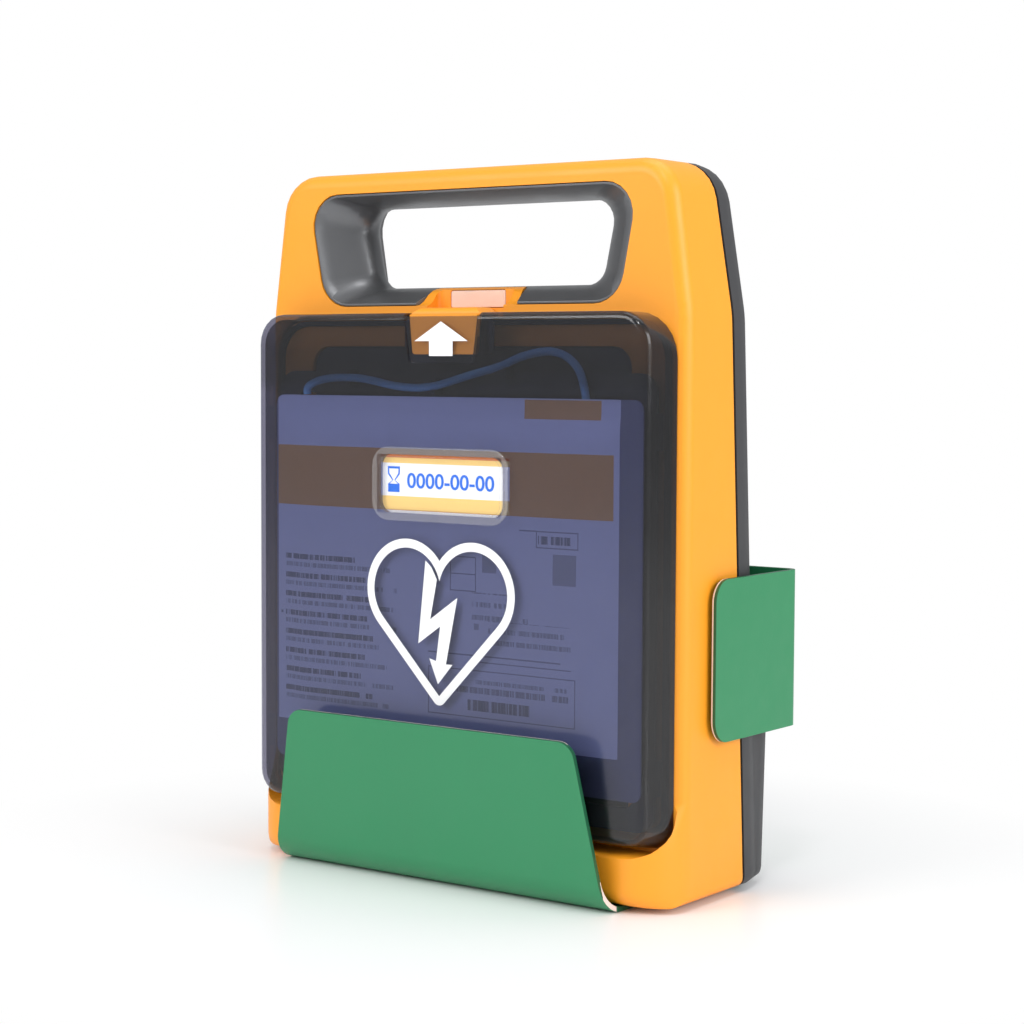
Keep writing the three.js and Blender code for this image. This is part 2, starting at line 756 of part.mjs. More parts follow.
/** The front housing: a deep open-backed shell with the chin, the lid's nest and the handle opening. */
function frontHousing() {
  const outer = slab(bodyCorners, 0, frontEndY, { frontEdge });
  const inner = slab(bodyCorners, wall, (z) => seamY(z) + past, {
    inset: wall,
    frontEdge: frontEdge - wall,
  });
  const shell = cut(join(outer, cut(chin(), lidNest())), inner, chinRoom());
  const opening = slab(handleCorners, -overrun, bodyHalfWidth);
  const panelOpening = slab(panelCorners, -past, wall + past, { inset: -seatGap });
  const gasketGroove = cut(
    slab(gasketCorners, -past, lidGasketSunk, { inset: lidWall }),
    slab(gasketCorners, -past * 2, wall, { inset: lidWall + lidGasketWidth + seatGap * 3 }),
  );
  const strike = block(
    [-strikeHalfWidth, strikeHalfWidth],
    [-past, hookReachY + past],
    [hookFootZ - hookNose - seatGap, hookFootZ + hookHeight + latchTravel + slideGap],
  );
  const posts = screwPlaces.map(({ x, z }) =>
    rodY(x, z, postRadius, wall - bite, frontEndY(z), SCREW_STEPS),
  );
  const pilots = screwPlaces.map(({ x, z }) =>
    rodY(
      x,
      z,
      screwShankRadius + seatGap,
      seamY(z) - screwReach - pilotPast,
      seamY(z) + past,
      SHANK_STEPS,
    ),
  );
  const trim = slab(bodyCorners, frontEndY, bodyHalfWidth, { inset: -overrun });
  const shellWithTongue = join(cut(shell, opening), cut(tongue(), scoop(), windowPlate()));
  const bored = cut(shellWithTongue, panelOpening, gasketGroove, strike, scoop());
  const groove = hingeReach + slideGap;
  const hingeGrooves = [-hingeX, hingeX].map((x) =>
    rodX(hingeY, hingeZ, knuckleRadius + slideGap, x - groove, x + groove, PIN_STEPS),
  );
  return join(cut(join(bored, ...posts), ...pilots, ...hingeGrooves, trim), ...housingKnuckles());
}

/**
 * The chin and the horns that it sends up beside the lid, before the lid's nest is cut. Seen from
 * above, its corners run into the housing's own front edge.
 */
function chin() {
  const levels = [];
  const rise = (t) => t * t * (3 - 2 * t);
  for (let i = EDGE_STEPS * 2; i >= 0; i -= 1) {
    const t = i / (EDGE_STEPS * 2);
    levels.push([lidFootZ + chinRise * t, chinFrontY + (1 - chinFrontY) * rise(t)]);
  }
  for (let i = EDGE_STEPS; i >= 0; i -= 1) {
    const angle = (Math.PI / 2) * (i / EDGE_STEPS);
    levels.push([
      bodyFootZ + chinEdge * (1 - Math.cos(angle)),
      chinFrontY + chinEdge * (1 - Math.sin(angle)),
    ]);
  }
  const ring = ([z, front]) =>
    outline(rectangle(bodyHalfWidth, front, bodyHalfWidth * 2, frontEdge - front)).map(
      (p) => new THREE.Vector3(p.x, p.y, z),
    );
  const upright = loft(levels.map(ring));
  return upright.intersect(slab(bodyCorners, chinFrontY - overrun, frontEdge * 2));
}

/** The room that the lid lies in, flared at the chin's front edge. */
function lidNest() {
  const flare = [
    [chinFrontY - past, nestGap + nestFlare],
    [chinFrontY + nestFlare * nestRound, nestGap + nestFlare * nestRound],
    [chinFrontY + nestFlare, nestGap],
    [0, nestGap],
  ];
  const ring = ([y, grow]) => outline(lidCorners, -grow).map((p) => new THREE.Vector3(p.x, y, p.y));
  return loft(flare.map(ring));
}

/** The hollow in the chin. */
function chinRoom() {
  const halfWidth = bodyHalfWidth - frontEdge + chinFrontY;
  const topZ = lidFootZ - nestGap - wall;
  const corners = rectangle(halfWidth, bodyFootZ + wall, topZ, chinRoomCorner);
  return slab(corners, chinFrontY + wall, wall + past, { frontEdge: chinRoomEdge });
}

/** The housing's hinge knuckles, standing on the chin, bored for the pins. */
function housingKnuckles() {
  return [-hingeX, hingeX].map((x) => {
    const side = [x - housingKnuckle / 2, x + housingKnuckle / 2];
    const stem = block(side, [hingeY, hingeY + knuckleRadius], [lidFootZ - knuckleRoot, hingeZ]);
    const barrel = rodX(hingeY, hingeZ, knuckleRadius, ...side, PIN_STEPS);
    const bore = rodX(hingeY, hingeZ, pinRadius + seatGap, side[0] - past, side[1] + past, PIN_STEPS);
    return cut(join(stem, barrel), bore);
  });
}

/** The rear housing: the slim back, the battery bulge, the hand's sleeve and the screw wells. */
function rearHousing() {
  const edge = { rearEdge };
  const slim = slab(bodyCorners, rearStartY, slimRearY, edge);
  const bulge = bulgeSolid(0);
  const inner = slab(bodyCorners, (z) => seamY(z) - past, (z) => slimRearY(z) - wall, {
    inset: wall,
    rearEdge: rearEdge - wall,
  });
  const shell = cut(join(slim, bulge), inner, bulgeSolid(wall));
  const sleeve = throat(sleeveWall).intersect(slim);
  const bayInset = -seatGap - wall;
  const bay = batterySolid(bayInset, batteryFrontY + bayInset, (z) => bulgeBackY(z) - past);
  const wells = screwPlaces.map(({ x, z }) =>
    rodY(x, z, screwHeadRadius + seatGap + wellWall, rearStartY(z), rearAt(z) - wall / 2, SCREW_STEPS),
  );
  const filled = join(shell, sleeve, bay, ...wells, ...cradles());
  const bores = screwPlaces.flatMap(({ x, z }) => [
    rodY(x, z, screwShankRadius + seatGap, seamY(z) - past, bulgeRearY + past, SHANK_STEPS),
    rodY(x, z, screwHeadRadius + seatGap, seamY(z) + screwSeat, bulgeRearY + past, SCREW_STEPS),
  ]);
  const batteryRoom = batterySolid(-seatGap, batteryFrontY - seatGap, bulgeRearY + overrun);
  const beforeSeam = slab(bodyCorners, -overrun, rearStartY, { inset: -overrun });
  return cut(filled, throat(0), batteryRoom, bolt(slideGap), ...bores, beforeSeam);
}

/** The hollow behind the handle's throat, opening out to the rear mouth, grown by a wall. */
function throat(grow) {
  const narrow = outline(throatCorners, -grow);
  const wide = outline(mouthCorners, -grow);
  return loft(
    throatCurve.map(([along, spread]) =>
      narrow.map((p, i) => {
        const open = p.clone().lerp(wide[i], spread);
        return new THREE.Vector3(open.x, throatY + (mouthY - throatY) * along, open.y);
      }),
    ),
  );
}

/** Depth of the rear housing's back at a height, over the bulge or above it. */
function rearAt(z) {
  return z < bulgeTopZ ? bulgeBackY(z) : slimRearY(z);
}

/** Depth of the battery bulge's back at a height. */
function bulgeBackY(z) {
  return bulgeRearY - (bulgeLean * (bulgeTopZ - z)) / (bulgeTopZ - bodyFootZ);
}

/** The battery bulge, drawn in by a wall for its hollow. */
function bulgeSolid(inset) {
  const start = inset > 0 ? -2 : seatGap;
  const rings = [];
  for (let i = 0; i <= EDGE_STEPS + 1; i += 1) {
    const angle = (Math.PI / 2) * Math.min(1, Math.max(0, (i - 1) / EDGE_STEPS));
    const draw = i === 0 ? 0 : (bulgeEdge - inset) * (1 - Math.cos(angle));
    const edge = inset + (bulgeEdge - inset) * (1 - Math.sin(angle));
    const top = i === 0 ? bulgeTopZ + bulgeRamp : bulgeTopZ;
    const corners = mirrored([
      [bulgeHalfWidth, bodyFootZ, bodyFootCorner],
      [bulgeHalfWidth, top, bulgeEdge],
    ]);
    rings.push(
      outline(corners, inset + draw).map(
        (p) => new THREE.Vector3(p.x, i === 0 ? seamY(p.y) + start : bulgeBackY(p.y) - edge, p.y),
      ),
    );
  }
  return loft(rings);
}

/** The battery's own outline between two depths, drawn in by an inset. */
function batterySolid(inset, front, rear) {
  const corners = rectangle(batteryHalfWidth, batteryFootZ, batteryTopZ, batteryCorner);
  return slab(corners, front, rear, { inset });
}

/** Two cradles on the back wall that carry the capacitor. */
function cradles() {
  return [-1, 1].map((side) => {
    const x = capacitorX + (side * capacitorLength) / 4;
    const seat = capacitorY();
    const saddle = block(
      [x - cradleWidth / 2, x + cradleWidth / 2],
      [seat, slimRearY(capacitorZ) - wall / 2],
      [capacitorZ - capacitorRadius - cradleWall, capacitorZ + capacitorRadius + cradleWall],
    );
    const bed = rodX(seat, capacitorZ, capacitorRadius + seatGap, x - cradleWidth, x + cradleWidth);
    return cut(saddle, bed);
  });
}

function capacitorY() {
  return slimRearY(capacitorZ) - wall - capacitorRadius - capacitorClearance;
}

/**
 * The grip: a flared ring that lines the handle opening from its front edge to the parting face. It
 * stops at either side of the tongue, so that nothing of it stands before the status window.
 */
function handleGrip() {
  const flange = slab(handleCorners, wall + seatGap, (z) => seamY(z) - seatGap, {
    inset: -gripFlange,
  });
  const lip = slab(handleCorners, gripLipY, wall + seatGap + past, { inset: seatGap });
  const mouth = outline(handleCorners, seatGap + gripLipThickness);
  const narrow = outline(throatCorners);
  const rings = [];
  for (let i = 0; i <= gripSteps; i += 1) {
    const t = i / gripSteps;
    const ease = Math.sin((Math.PI / 2) * t);
    const y = gripLipY + (throatY - gripLipY) * t;
    const eased = mouth.map((p, k) => p.clone().lerp(narrow[k], ease));
    rings.push(eased.map((p) => new THREE.Vector3(p.x, y, p.y)));
  }
  rings.unshift(mouth.map((p) => new THREE.Vector3(p.x, -past, p.y)));
  rings.push(narrow.map((p) => new THREE.Vector3(p.x, throatY + past, p.y)));
  const tongueRoom = tongueColumn(seatGap, handleFootZ + Math.max(...tongueCurve) + seatGap);
  return cut(join(flange, lip), loft(rings), throat(0), tongueRoom);
}

/** The gasket that shows as a dark line between the two housings. */
function seamGasket() {
  const front = (z) => frontEndY(z) + seatGap;
  const outer = slab(bodyCorners, front, seamY, { inset: seamGasketDepth });
  const inner = slab(bodyCorners, (z) => front(z) - past, (z) => seamY(z) + past, {
    inset: seamGasketDepth + seamGasketWidth,
  });
  return cut(outer, inner);
}

/** The gasket in the front face that the lid's rim closes round. */
function lidGasket() {
  const inset = lidWall + seatGap * 2;
  const outer = slab(gasketCorners, -lidGasketProud, lidGasketSunk - seatGap, { inset });
  const inner = slab(gasketCorners, -overrun, overrun, { inset: inset + lidGasketWidth });
  const hookRoom = block(
    [-strikeHalfWidth - seatGap, strikeHalfWidth + seatGap],
    [-overrun, overrun],
    [hookFootZ, lidTopZ],
  );
  return cut(outer, inner, hookRoom);
}

/** The lid: a smoked shell with the latch dish, the date window's hole and its hinge knuckles. */
function lidShell() {
  const outside = lidForm(0, lidFrontY, lidRearY);
  const dishOutline = (topZ) =>
    mirrored([
      [dishFootHalfWidth, dishFootZ, dishFootCorner],
      [dishTopHalfWidth, topZ, bite],
    ]);
  const open = dishOutline(lidTopZ + overrun);
  const dish = slab(open, lidFrontY - overrun, lidFrontY + dishDepth);
  const latchRoom = slab(open, lidFrontY - overrun, latchRearY + slideGap);
  const floor = slab(
    dishOutline(shelfFootZ - seatGap - dishCheek),
    lidFrontY + dishDepth,
    dishInnerY,
    { inset: -dishCheek },
  );
  const notch = block(
    [-shelfHalfWidth - slideGap, shelfHalfWidth + slideGap],
    [lidFrontY - past, lidRearY + past],
    [shelfFootZ - seatGap, lidTopZ + past],
  );
  const hookSlot = block(
    [-hookHalfWidth - slideGap, hookHalfWidth + slideGap],
    [latchRearY - past, lidRearY + past],
    [hookFootZ - slideGap, lidTopZ + past],
  );
  const dateHole = slab(datePane, lidFrontY - past, lidInnerY + past);
  const rails = [-1, 1].map((side) => {
    const x = side * (latchTopHalfWidth + slideGap + railHalfWidth);
    return block(
      [x - railHalfWidth, x + railHalfWidth],
      [dishInnerY - bite, latchRearY],
      [latchFootZ, lidTopZ - lidWall - past],
    );
  });
  const sweep = housingKnuckle / 2 + slideGap;
  const openings = [-hingeX, hingeX].map((x) =>
    rodX(hingeY, hingeZ, hingeSweep, x - sweep, x + sweep),
  );
  const cuts = [dish, notch, hookSlot, dateHole, ...openings];
  const shell = cut(outside, lidHollow(), latchRoom);
  const body = cut(join(shell, floor.intersect(outside), ...rails), ...cuts);
  return cut(join(body, ...lidKnuckles()), ...pinBores());
}

/** The lid's form between two depths, drawn in by an inset. It tapers from its rim to its front. */
function lidForm(inset, front, rear) {
  const ring = (y, draw) => {
    const taper = lidTaper(y);
    const halfWidth = lidHalfWidth - lidSideDraw * taper;
    const corners = mirrored([
      [halfWidth, lidFootZ + lidFootDraw * taper, lidFootCorner],
      [halfWidth, lidTopZ, lidTopCorner - lidTopCornerDraw * taper],
    ]);
    return outline(corners, inset + draw).map((p) => new THREE.Vector3(p.x, y, p.y));
  };
  const edge = lidEdge - inset;
  const rings = [];
  for (let i = 0; i <= EDGE_STEPS; i += 1) {
    const angle = (Math.PI / 2) * (i / EDGE_STEPS);
    rings.push(ring(front + edge * (1 - Math.cos(angle)), edge * (1 - Math.sin(angle))));
  }
  return loft([...rings, ring(rear, 0)]);
}

/** The hollow of the lid. */
function lidHollow() {
  return lidForm(lidWall, lidInnerY, past);
}

/** Pairs of lid knuckles either side of each housing knuckle. */
function lidKnuckles() {
  return [-hingeX, hingeX].flatMap((x) =>
    [-1, 1].map((side) => {
      const inner = x + side * (housingKnuckle / 2 + slideGap);
      const outer = inner + side * lidKnuckle;
      const span = [Math.min(inner, outer), Math.max(inner, outer)];
      const rootTopZ = lidFootZ + lidFootDraw + bite;
      const root = block(span, [hingeY, hingeY + knuckleRadius], [hingeZ, rootTopZ]);
      return join(rodX(hingeY, hingeZ, knuckleRadius, ...span, PIN_STEPS), cut(root, lidHollow()));
    }),
  );
}

function pinBores() {
  const reach = hingeReach + past;
  return [-hingeX, hingeX].map((x) =>
    rodX(hingeY, hingeZ, pinRadius + seatGap, x - reach, x + reach, PIN_STEPS),
  );
}

function hingePin(x) {
  return rodX(hingeY, hingeZ, pinRadius, x - hingeReach, x + hingeReach, PIN_STEPS);
}

/** The clear date window, framed on the outside and plugged through the lid. */
function dateWindow() {
  const seatY = lidFrontY - seatGap;
  const paneY = seatY - seatGap;
  const frame = slab(dateCorners, seatY - dateProud, seatY, { frontEdge: dateEdge });
  const recess = slab(dateCorners, lidFrontY - overrun, paneY, { inset: dateFrame + dateStep });
  const plug = slab(datePane, paneY, lidInnerY, { inset: seatGap });
  return join(cut(frame, recess), plug);
}

/** The latch: a plate behind the lid, a thumb shelf above it and a hook through the housing's face. */
function lidLatch() {
  const plate = slab(
    mirrored([
      [latchFootHalfWidth, latchFootZ, latchFootCorner],
      [latchTopHalfWidth, shelfFootZ + bite, bite],
    ]),
    latchFrontY,
    latchRearY,
  );
  const shelfFrontY = latchFrontY + shelfSetBack;
  const shelfEnds = slab(
    mirrored([
      [shelfHalfWidth, shelfFootZ, shelfChamfer],
      [shelfTopHalfWidth, shelfTopZ, shelfCorner],
    ]),
    shelfFrontY - past,
    shelfRearY,
  );
  const shelfHeight = shelfTopZ - shelfFootZ;
  const face = [];
  for (let i = 0; i <= EDGE_STEPS; i += 1) {
    const angle = (Math.PI / 2) * (i / EDGE_STEPS);
    face.push([
      shelfFrontY + shelfLean * (1 - Math.cos(angle)),
      shelfFootZ + shelfHeight * (shelfUpright + (1 - shelfUpright) * Math.sin(angle)),
    ]);
  }
  const side = [[shelfFrontY + shelfChamfer, shelfFootZ], ...face, [0, shelfTopZ], [0, shelfFootZ]];
  const shelf = prismX(side, -shelfHalfWidth * 2, shelfHalfWidth * 2).intersect(shelfEnds);
  const hookSides = [-hookHalfWidth, hookHalfWidth];
  const arm = block(hookSides, [latchRearY - bite, hookReachY], [hookFootZ, hookFootZ + hookHeight]);
  const nose = block(
    hookSides,
    [wall + seatGap, hookReachY],
    [hookFootZ - hookNose, hookFootZ + bite],
  );
  return join(plate, shelf, arm, nose);
}

/** The cover screwed over the latch's guides inside the lid. */
function latchCover() {
  const plate = slab(
    rectangle(latchCoverHalfWidth, latchFootZ, lidTopZ - lidWall - seatGap, latchCoverCorner),
    latchRearY + seatGap,
    latchRearY + seatGap + latchCoverThickness,
  );
  const slot = block(
    [-hookHalfWidth - slideGap, hookHalfWidth + slideGap],
    [latchRearY - past, latchRearY + overrun],
    [hookFootZ - slideGap, lidTopZ],
  );
  return cut(plate, slot);
}

/** The control panel: button holes, switch slot, speaker grille, socket hole and board posts. */
function frontPanel() {
  const plate = slab(panelCorners, panelPlateY, panelBackY, { inset: -panelFlange });
  const face = slab(panelCorners, panelFaceY, panelPlateY + bite, { frontEdge: panelEdge });
  const posts = boardPosts().map(([x, z]) =>
    rodY(x, z, boardPostRadius, panelBackY - bite, boardY - seatGap, POST_STEPS),
  );
  const slotReach = childTravel / 2 + childKnobHalfWidth + slideGap;
  const slotHalfHeight = childKnobHalfHeight + slideGap;
  const slot = rectangle(
    slotReach,
    childZ - slotHalfHeight,
    childZ + slotHalfHeight,
    panelEdge,
    childX,
  );
  const holes = [
    rodY(shockX, shockZ, shockRadius + slideGap, -past, boardY, BUTTON_STEPS),
    rodY(infoX, infoZ, infoRadius + slideGap, -past, boardY, PIN_STEPS),
    slab(slot, -past, boardY),
    slab(socketCorners, -past, panelBackY + past, { inset: -seatGap }),
  ];
  return cut(join(plate, face, ...posts), ...holes, ...grille());
}

function boardPosts() {
  return [boardFootZ + boardPostInset, boardTopZ - boardPostInset].flatMap((z) => [
    [boardPostInset - boardHalfWidth, z],
    [boardHalfWidth - boardPostInset, z],
  ]);
}

/** Upright slots in front of the speaker. */
function grille() {
  return Array.from({ length: grilleSlots }, (unused, i) => {
    const x = (i - (grilleSlots - 1) / 2) * grillePitch;
    const half = grilleSlotHeight / 2;
    return slab(
      rectangle(grilleSlotWidth / 2, grilleZ - half, grilleZ + half, grilleCorner, x),
      -past,
      panelBackY + past,
    );
  });
}

/** A round button with a flange that keeps it behind the panel. */
function roundButton(x, z, radius) {
  const seatY = panelBackY + seatGap;
  const cap = slab(disc(x, z, radius), panelFaceY - shockProud, seatY + bite, { frontEdge: panelEdge });
  const flange = rodY(x, z, radius + flangeWidth, seatY, seatY + flangeThickness, BUTTON_STEPS);
  return join(cap, flange);
}

/** A circle as an outline of four round corners. */
function disc(x, z, radius) {
  return [
    [x + radius, z - radius, radius],
    [x + radius, z + radius, radius],
    [x - radius, z + radius, radius],
    [x - radius, z - radius, radius],
  ];
}

/** The adult and child slide switch, at its left-hand stop. */
function childSwitch() {
  const x = childX - childTravel / 2;
  const seatY = panelBackY + seatGap;
  const knob = slab(
    rectangle(
      childKnobHalfWidth,
      childZ - childKnobHalfHeight,
      childZ + childKnobHalfHeight,
      childEdge,
      x,
    ),
    panelFaceY - childProud,
    seatY + bite,
    { frontEdge: childEdge },
  );
  const plateHalfHeight = childKnobHalfHeight + childPlateMargin;
  const plate = block(
    [x - childKnobHalfWidth - childSlotMargin, x + childKnobHalfWidth + childSlotMargin],
    [seatY, seatY + flangeThickness],
    [childZ - plateHalfHeight, childZ + plateHalfHeight],
  );
  return join(knob, plate);
}

/** The pads socket, an open cup behind the panel. */
function padsSocket() {
  const seatY = panelBackY + seatGap;
  const rearY = boardY - seatGap;
  const cup = slab(socketCorners, panelFaceY - socketProud, rearY);
  const flange = slab(socketCorners, seatY, seatY + flangeThickness, { inset: -flangeWidth });
  const room = slab(socketCorners, -past, rearY - socketWall, { inset: socketWall });
  const pins = [-socketPinX, socketPinX].map((x) =>
    rodY(socketX + x, socketZ, socketPinRadius, socketPinDepth, rearY - bite, SCREW_STEPS),
  );
  return join(cut(join(cup, flange), room), ...pins);
}

function mainBoard() {
  const depth = [boardY, boardY + boardThickness];
  return block([-boardHalfWidth, boardHalfWidth], depth, [boardFootZ, boardTopZ]);
}

/** The speaker, a shallow cone basket with its magnet. */
function speaker() {
  const front = panelBackY + seatGap;
  const profile = [
    new THREE.Vector2(0, 0),
    new THREE.Vector2(speakerRadius, 0),
    new THREE.Vector2(speakerRadius, speakerRim),
    new THREE.Vector2(speakerMagnetRadius, speakerCone),
    new THREE.Vector2(speakerMagnetRadius, speakerDepth),
    new THREE.Vector2(0, speakerDepth),
  ];
  const lathe = new THREE.LatheGeometry(profile, PIN_STEPS);
  return solid(lathe.translate(0, front, grilleZ));
}

/** The storage capacitor lying in its cradles. */
function storageCapacitor() {
  const half = capacitorLength / 2;
  const ends = [capacitorX - half, capacitorX + half];
  return rodX(capacitorY(), capacitorZ, capacitorRadius, ...ends, PIN_STEPS);
}

/** The battery pack, with a finger notch over its latch. */
function batteryPack() {
  const pack = batterySolid(0, batteryFrontY, bulgeBackY);
  const notch = block(
    [-batteryLatchHalfWidth - seatGap, batteryLatchHalfWidth + seatGap],
    [batteryLatchY - seatGap, bulgeRearY + past],
    [batteryTopZ - batteryLatchHeight - batteryLatchTravel - seatGap, batteryTopZ + past],
  );
  return cut(pack, notch);
}

/** The battery's spring latch, ribbed for the thumb, with a bolt that stands up into the housing. */
function batteryLatch() {
  const depth = [batteryLatchY, bulgeRearY - latchSunk];
  const half = batteryLatchHalfWidth;
  const plate = block([-half, half], depth, [batteryTopZ - batteryLatchHeight, batteryTopZ]);
  const ribs = [0, 1, 2].map((i) => {
    const z = batteryTopZ - batteryLatchHeight + ribFoot + i * ribPitch;
    return block(
      [ribMargin - half, half - ribMargin],
      [depth[1] - bite, bulgeRearY - ribSunk],
      [z, z + ribHeight],
    );
  });
  return join(plate, bolt(0), ...ribs);
}

/** The battery latch's bolt, or the pocket that it stands in when grown by a clearance. */
function bolt(grow) {
  return block(
    [-boltHalfWidth - grow, boltHalfWidth + grow],
    [batteryLatchY - grow, batteryLatchY + boltThickness + grow],
    [batteryTopZ - bite, batteryTopZ + boltRise + grow],
  );
}

/** A case screw: a round head with a cross recess, and its shank. */
function caseScrew({ x, z }) {
  const seat = seamY(z) + screwSeat + seatGap;
  const top = seat + screwHeadHeight;
  const head = rodY(x, z, screwHeadRadius, seat, top, SCREW_STEPS);
  const shank = rodY(x, z, screwShankRadius, seamY(z) - screwReach, seat + bite, SHANK_STEPS);
  const depth = [top - recessDepth, top + past];
  const about = (middle, reach) => [middle - reach, middle + reach];
  const blades = [
    block(about(x, recessReach), depth, about(z, recessHalfWidth)),
    block(about(x, recessHalfWidth), depth, about(z, recessReach)),
  ];
  return cut(join(head, shank), ...blades);
}

/** The sealed pads pouch, flat with soft edges. */
function padsPouch() {
  const centre = (pouchLeftX + pouchRightX) / 2;
  const half = (pouchRightX - pouchLeftX) / 2;
  const corners = rectangle(half, pouchFootZ, pouchTopZ, pouchCorner, centre);
  return slab(corners, pouchFrontY, pouchRearY, {
    frontEdge: pouchEdge,
    rearEdge: pouchEdge,
  });
}

/** The frame that holds the pouch in the lid: a border, a waist bar and four side tabs. */
function padsRetainer() {
  const depth = [retainerRearY - retainerThickness, retainerRearY];
  const outer = rectangle(retainerHalfWidth, retainerFootZ, retainerTopZ, retainerCorner);
  const border = slab(outer, ...depth);
  const middle = (retainerFootZ + retainerTopZ) / 2;
  const inner = retainerHalfWidth - retainerBar;
  const spans = [
    [retainerFootZ + retainerBar, middle - retainerBar / 2],
    [middle + retainerBar / 2, retainerTopZ - retainerBar],
  ];
  const windows = spans.map((span) =>
    slab(rectangle(inner, ...span, retainerWindowCorner), depth[0] - past, depth[1] + past),
  );
  const tabs = [-1, 1].flatMap((side) =>
    [retainerFootZ + retainerTabInset, retainerTopZ - retainerTabInset].map((z) => {
      const reach = lidHalfWidth - lidSideDraw * lidTaper(depth[0]) - lidWall - seatGap;
      const root = retainerHalfWidth - past;
      const span = side > 0 ? [root, reach] : [-reach, -root];
      return block(span, depth, [z - retainerTabHalfHeight, z + retainerTabHalfHeight]);
    }),
  );
  const frame = join(cut(border, ...windows), ...tabs, ...leadClips());
  return cut(frame, leadTube(leadRadius + seatGap));
}

/** Clips on the frame's top bar that hold the lead from behind. */
function leadClips() {
  const reach = leadRadius + seatGap + clipWall;
  return leadHolds.map((i) => {
    const [x, y, z] = leadRoute[i];
    return block(
      [x - clipHalfWidth, x + clipHalfWidth],
      [y - leadRadius / 2, retainerRearY - retainerThickness / 2],
      [Math.min(z - reach, retainerTopZ - clipWall * 2), z + reach],
    );
  });
}

// The pads' lead: out of the pouch's top, over to the right, and down behind the pouch to its plug
const leadRoute = [
  [-74, -10.9, pouchTopZ + seatGap],
  [-74, -10.9, pouchTopZ + 2.6],
  [-72, -10.6, pouchTopZ + 4.6],
  [-66, -9.8, pouchTopZ + 6.6],
  [-55, -9, pouchTopZ + 7.4],
  [-44, -9, pouchTopZ + 6.8],
  [-26, -9, pouchTopZ + 3.9],
  [-10.5, -9, pouchTopZ + 4],
  [9.6, -8.8, pouchTopZ + 8.8],
  [24.4, -8.2, pouchTopZ + 12.6],
  [34.1, -7.8, pouchTopZ + 16.2],
  [46, -7.4, pouchTopZ + 18.2],
  [54, -7, pouchTopZ + 16.6],
  [59.7, -6.6, pouchTopZ + 12],
  [62.5, leadBackY, pouchTopZ + 6],
  [64, leadBackY, pouchTopZ - 2],
  [65, leadBackY, pouchTopZ - 26],
  [64, leadBackY, 130],
  [63, leadBackY, 90],
  [61, leadBackY, 60],
  [56, leadBackY, 47],
  [51, leadBackY - 0.1, 39.5],
  [44, plugY + 0.3, plugZ + 0.4],
  [plugX + plugHalfLength + seatGap, plugY, plugZ],
];
const leadHolds = [4, 7, 9]; // points of the route that lie in the frame's clips

/** A tube of a radius along the lead's route. */
function leadTube(radius) {
  const route = new THREE.CatmullRomCurve3(leadRoute.map((p) => new THREE.Vector3(...p)));
  const section = new THREE.Shape().absarc(0, 0, radius, 0, Math.PI * 2, false);
  const tube = new THREE.ExtrudeGeometry(section, { steps: 60, curveSegments: 4, extrudePath: route });
  return solid(tube);
}

/** The lead's plug, clipped in the lid below the pouch. */
function padsPlug() {
  return slab(
    rectangle(plugHalfLength, plugZ - plugHeight / 2, plugZ + plugHeight / 2, plugCorner, plugX),
    plugY - plugThickness / 2,
    plugY + plugThickness / 2,
    { frontEdge: plugEdge, rearEdge: plugEdge },
  );
}

const group = new THREE.Group();
const unit = new THREE.Group();
const lid = new THREE.Group();
group.add(mesh('wall_bracket', wallBracket(), finishes.greenSteel), unit, lid);

unit.add(
  mesh('front_housing', frontHousing(), finishes.orange),
  mesh('rear_housing', rearHousing(), finishes.darkGrey),
  mesh('handle_grip', handleGrip(), finishes.gripGrey),
  mesh('seam_gasket', seamGasket(), finishes.rubber),
  mesh('lid_gasket', lidGasket(), finishes.rubber),
  mesh('status_window', windowPlate(seatGap), finishes.paleWindow),
  mesh('front_panel', frontPanel(), finishes.panel),
  mesh('pads_socket', padsSocket(), finishes.darkGrey),
  mesh('main_board', mainBoard(), finishes.board),
  mesh('speaker', speaker(), finishes.rubber),
  mesh('storage_capacitor', storageCapacitor(), finishes.darkGrey),
  mesh('battery_pack', batteryPack(), finishes.darkGrey),
  mesh('battery_latch', batteryLatch(), finishes.gripGrey),
  mesh('shock_button', roundButton(shockX, shockZ, shockRadius), finishes.button),
  mesh('info_button', roundButton(infoX, infoZ, infoRadius), finishes.button),
  mesh('child_switch', childSwitch(), finishes.gripGrey),
  mesh('hinge_pin_left', hingePin(-hingeX), finishes.steel),
  mesh('hinge_pin_right', hingePin(hingeX), finishes.steel),
);
screwPlaces.forEach((place, i) => {
  unit.add(mesh(`case_screw_${i + 1}`, caseScrew(place), finishes.steel));
});

lid.add(
  mesh('lid_shell', lidShell(), finishes.smoke),
  mesh('date_window', dateWindow(), finishes.clear),
  mesh('lid_latch', lidLatch(), finishes.orange),
  mesh('latch_cover', latchCover(), finishes.darkGrey),
  mesh('pads_pouch', padsPouch(), finishes.foil),
  mesh('pads_retainer', padsRetainer(), finishes.gripGrey),
  mesh('pads_lead', leadTube(leadRadius), finishes.lead),
  mesh('pads_plug', padsPlug(), finishes.rubber),
);

const lipReachY = lipFootY - lipLean * lipTopZ;
group.position.y = -(lipReachY + plateRearY) / 2;

export default group;
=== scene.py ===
"""A public-access defibrillator standing in its folded wall bracket, dressed for a studio picture."""

import logging
import math
from collections.abc import Callable, Sequence
from dataclasses import dataclass
from enum import Enum

import bmesh
import bpy
from mathutils import Matrix, Vector, noise


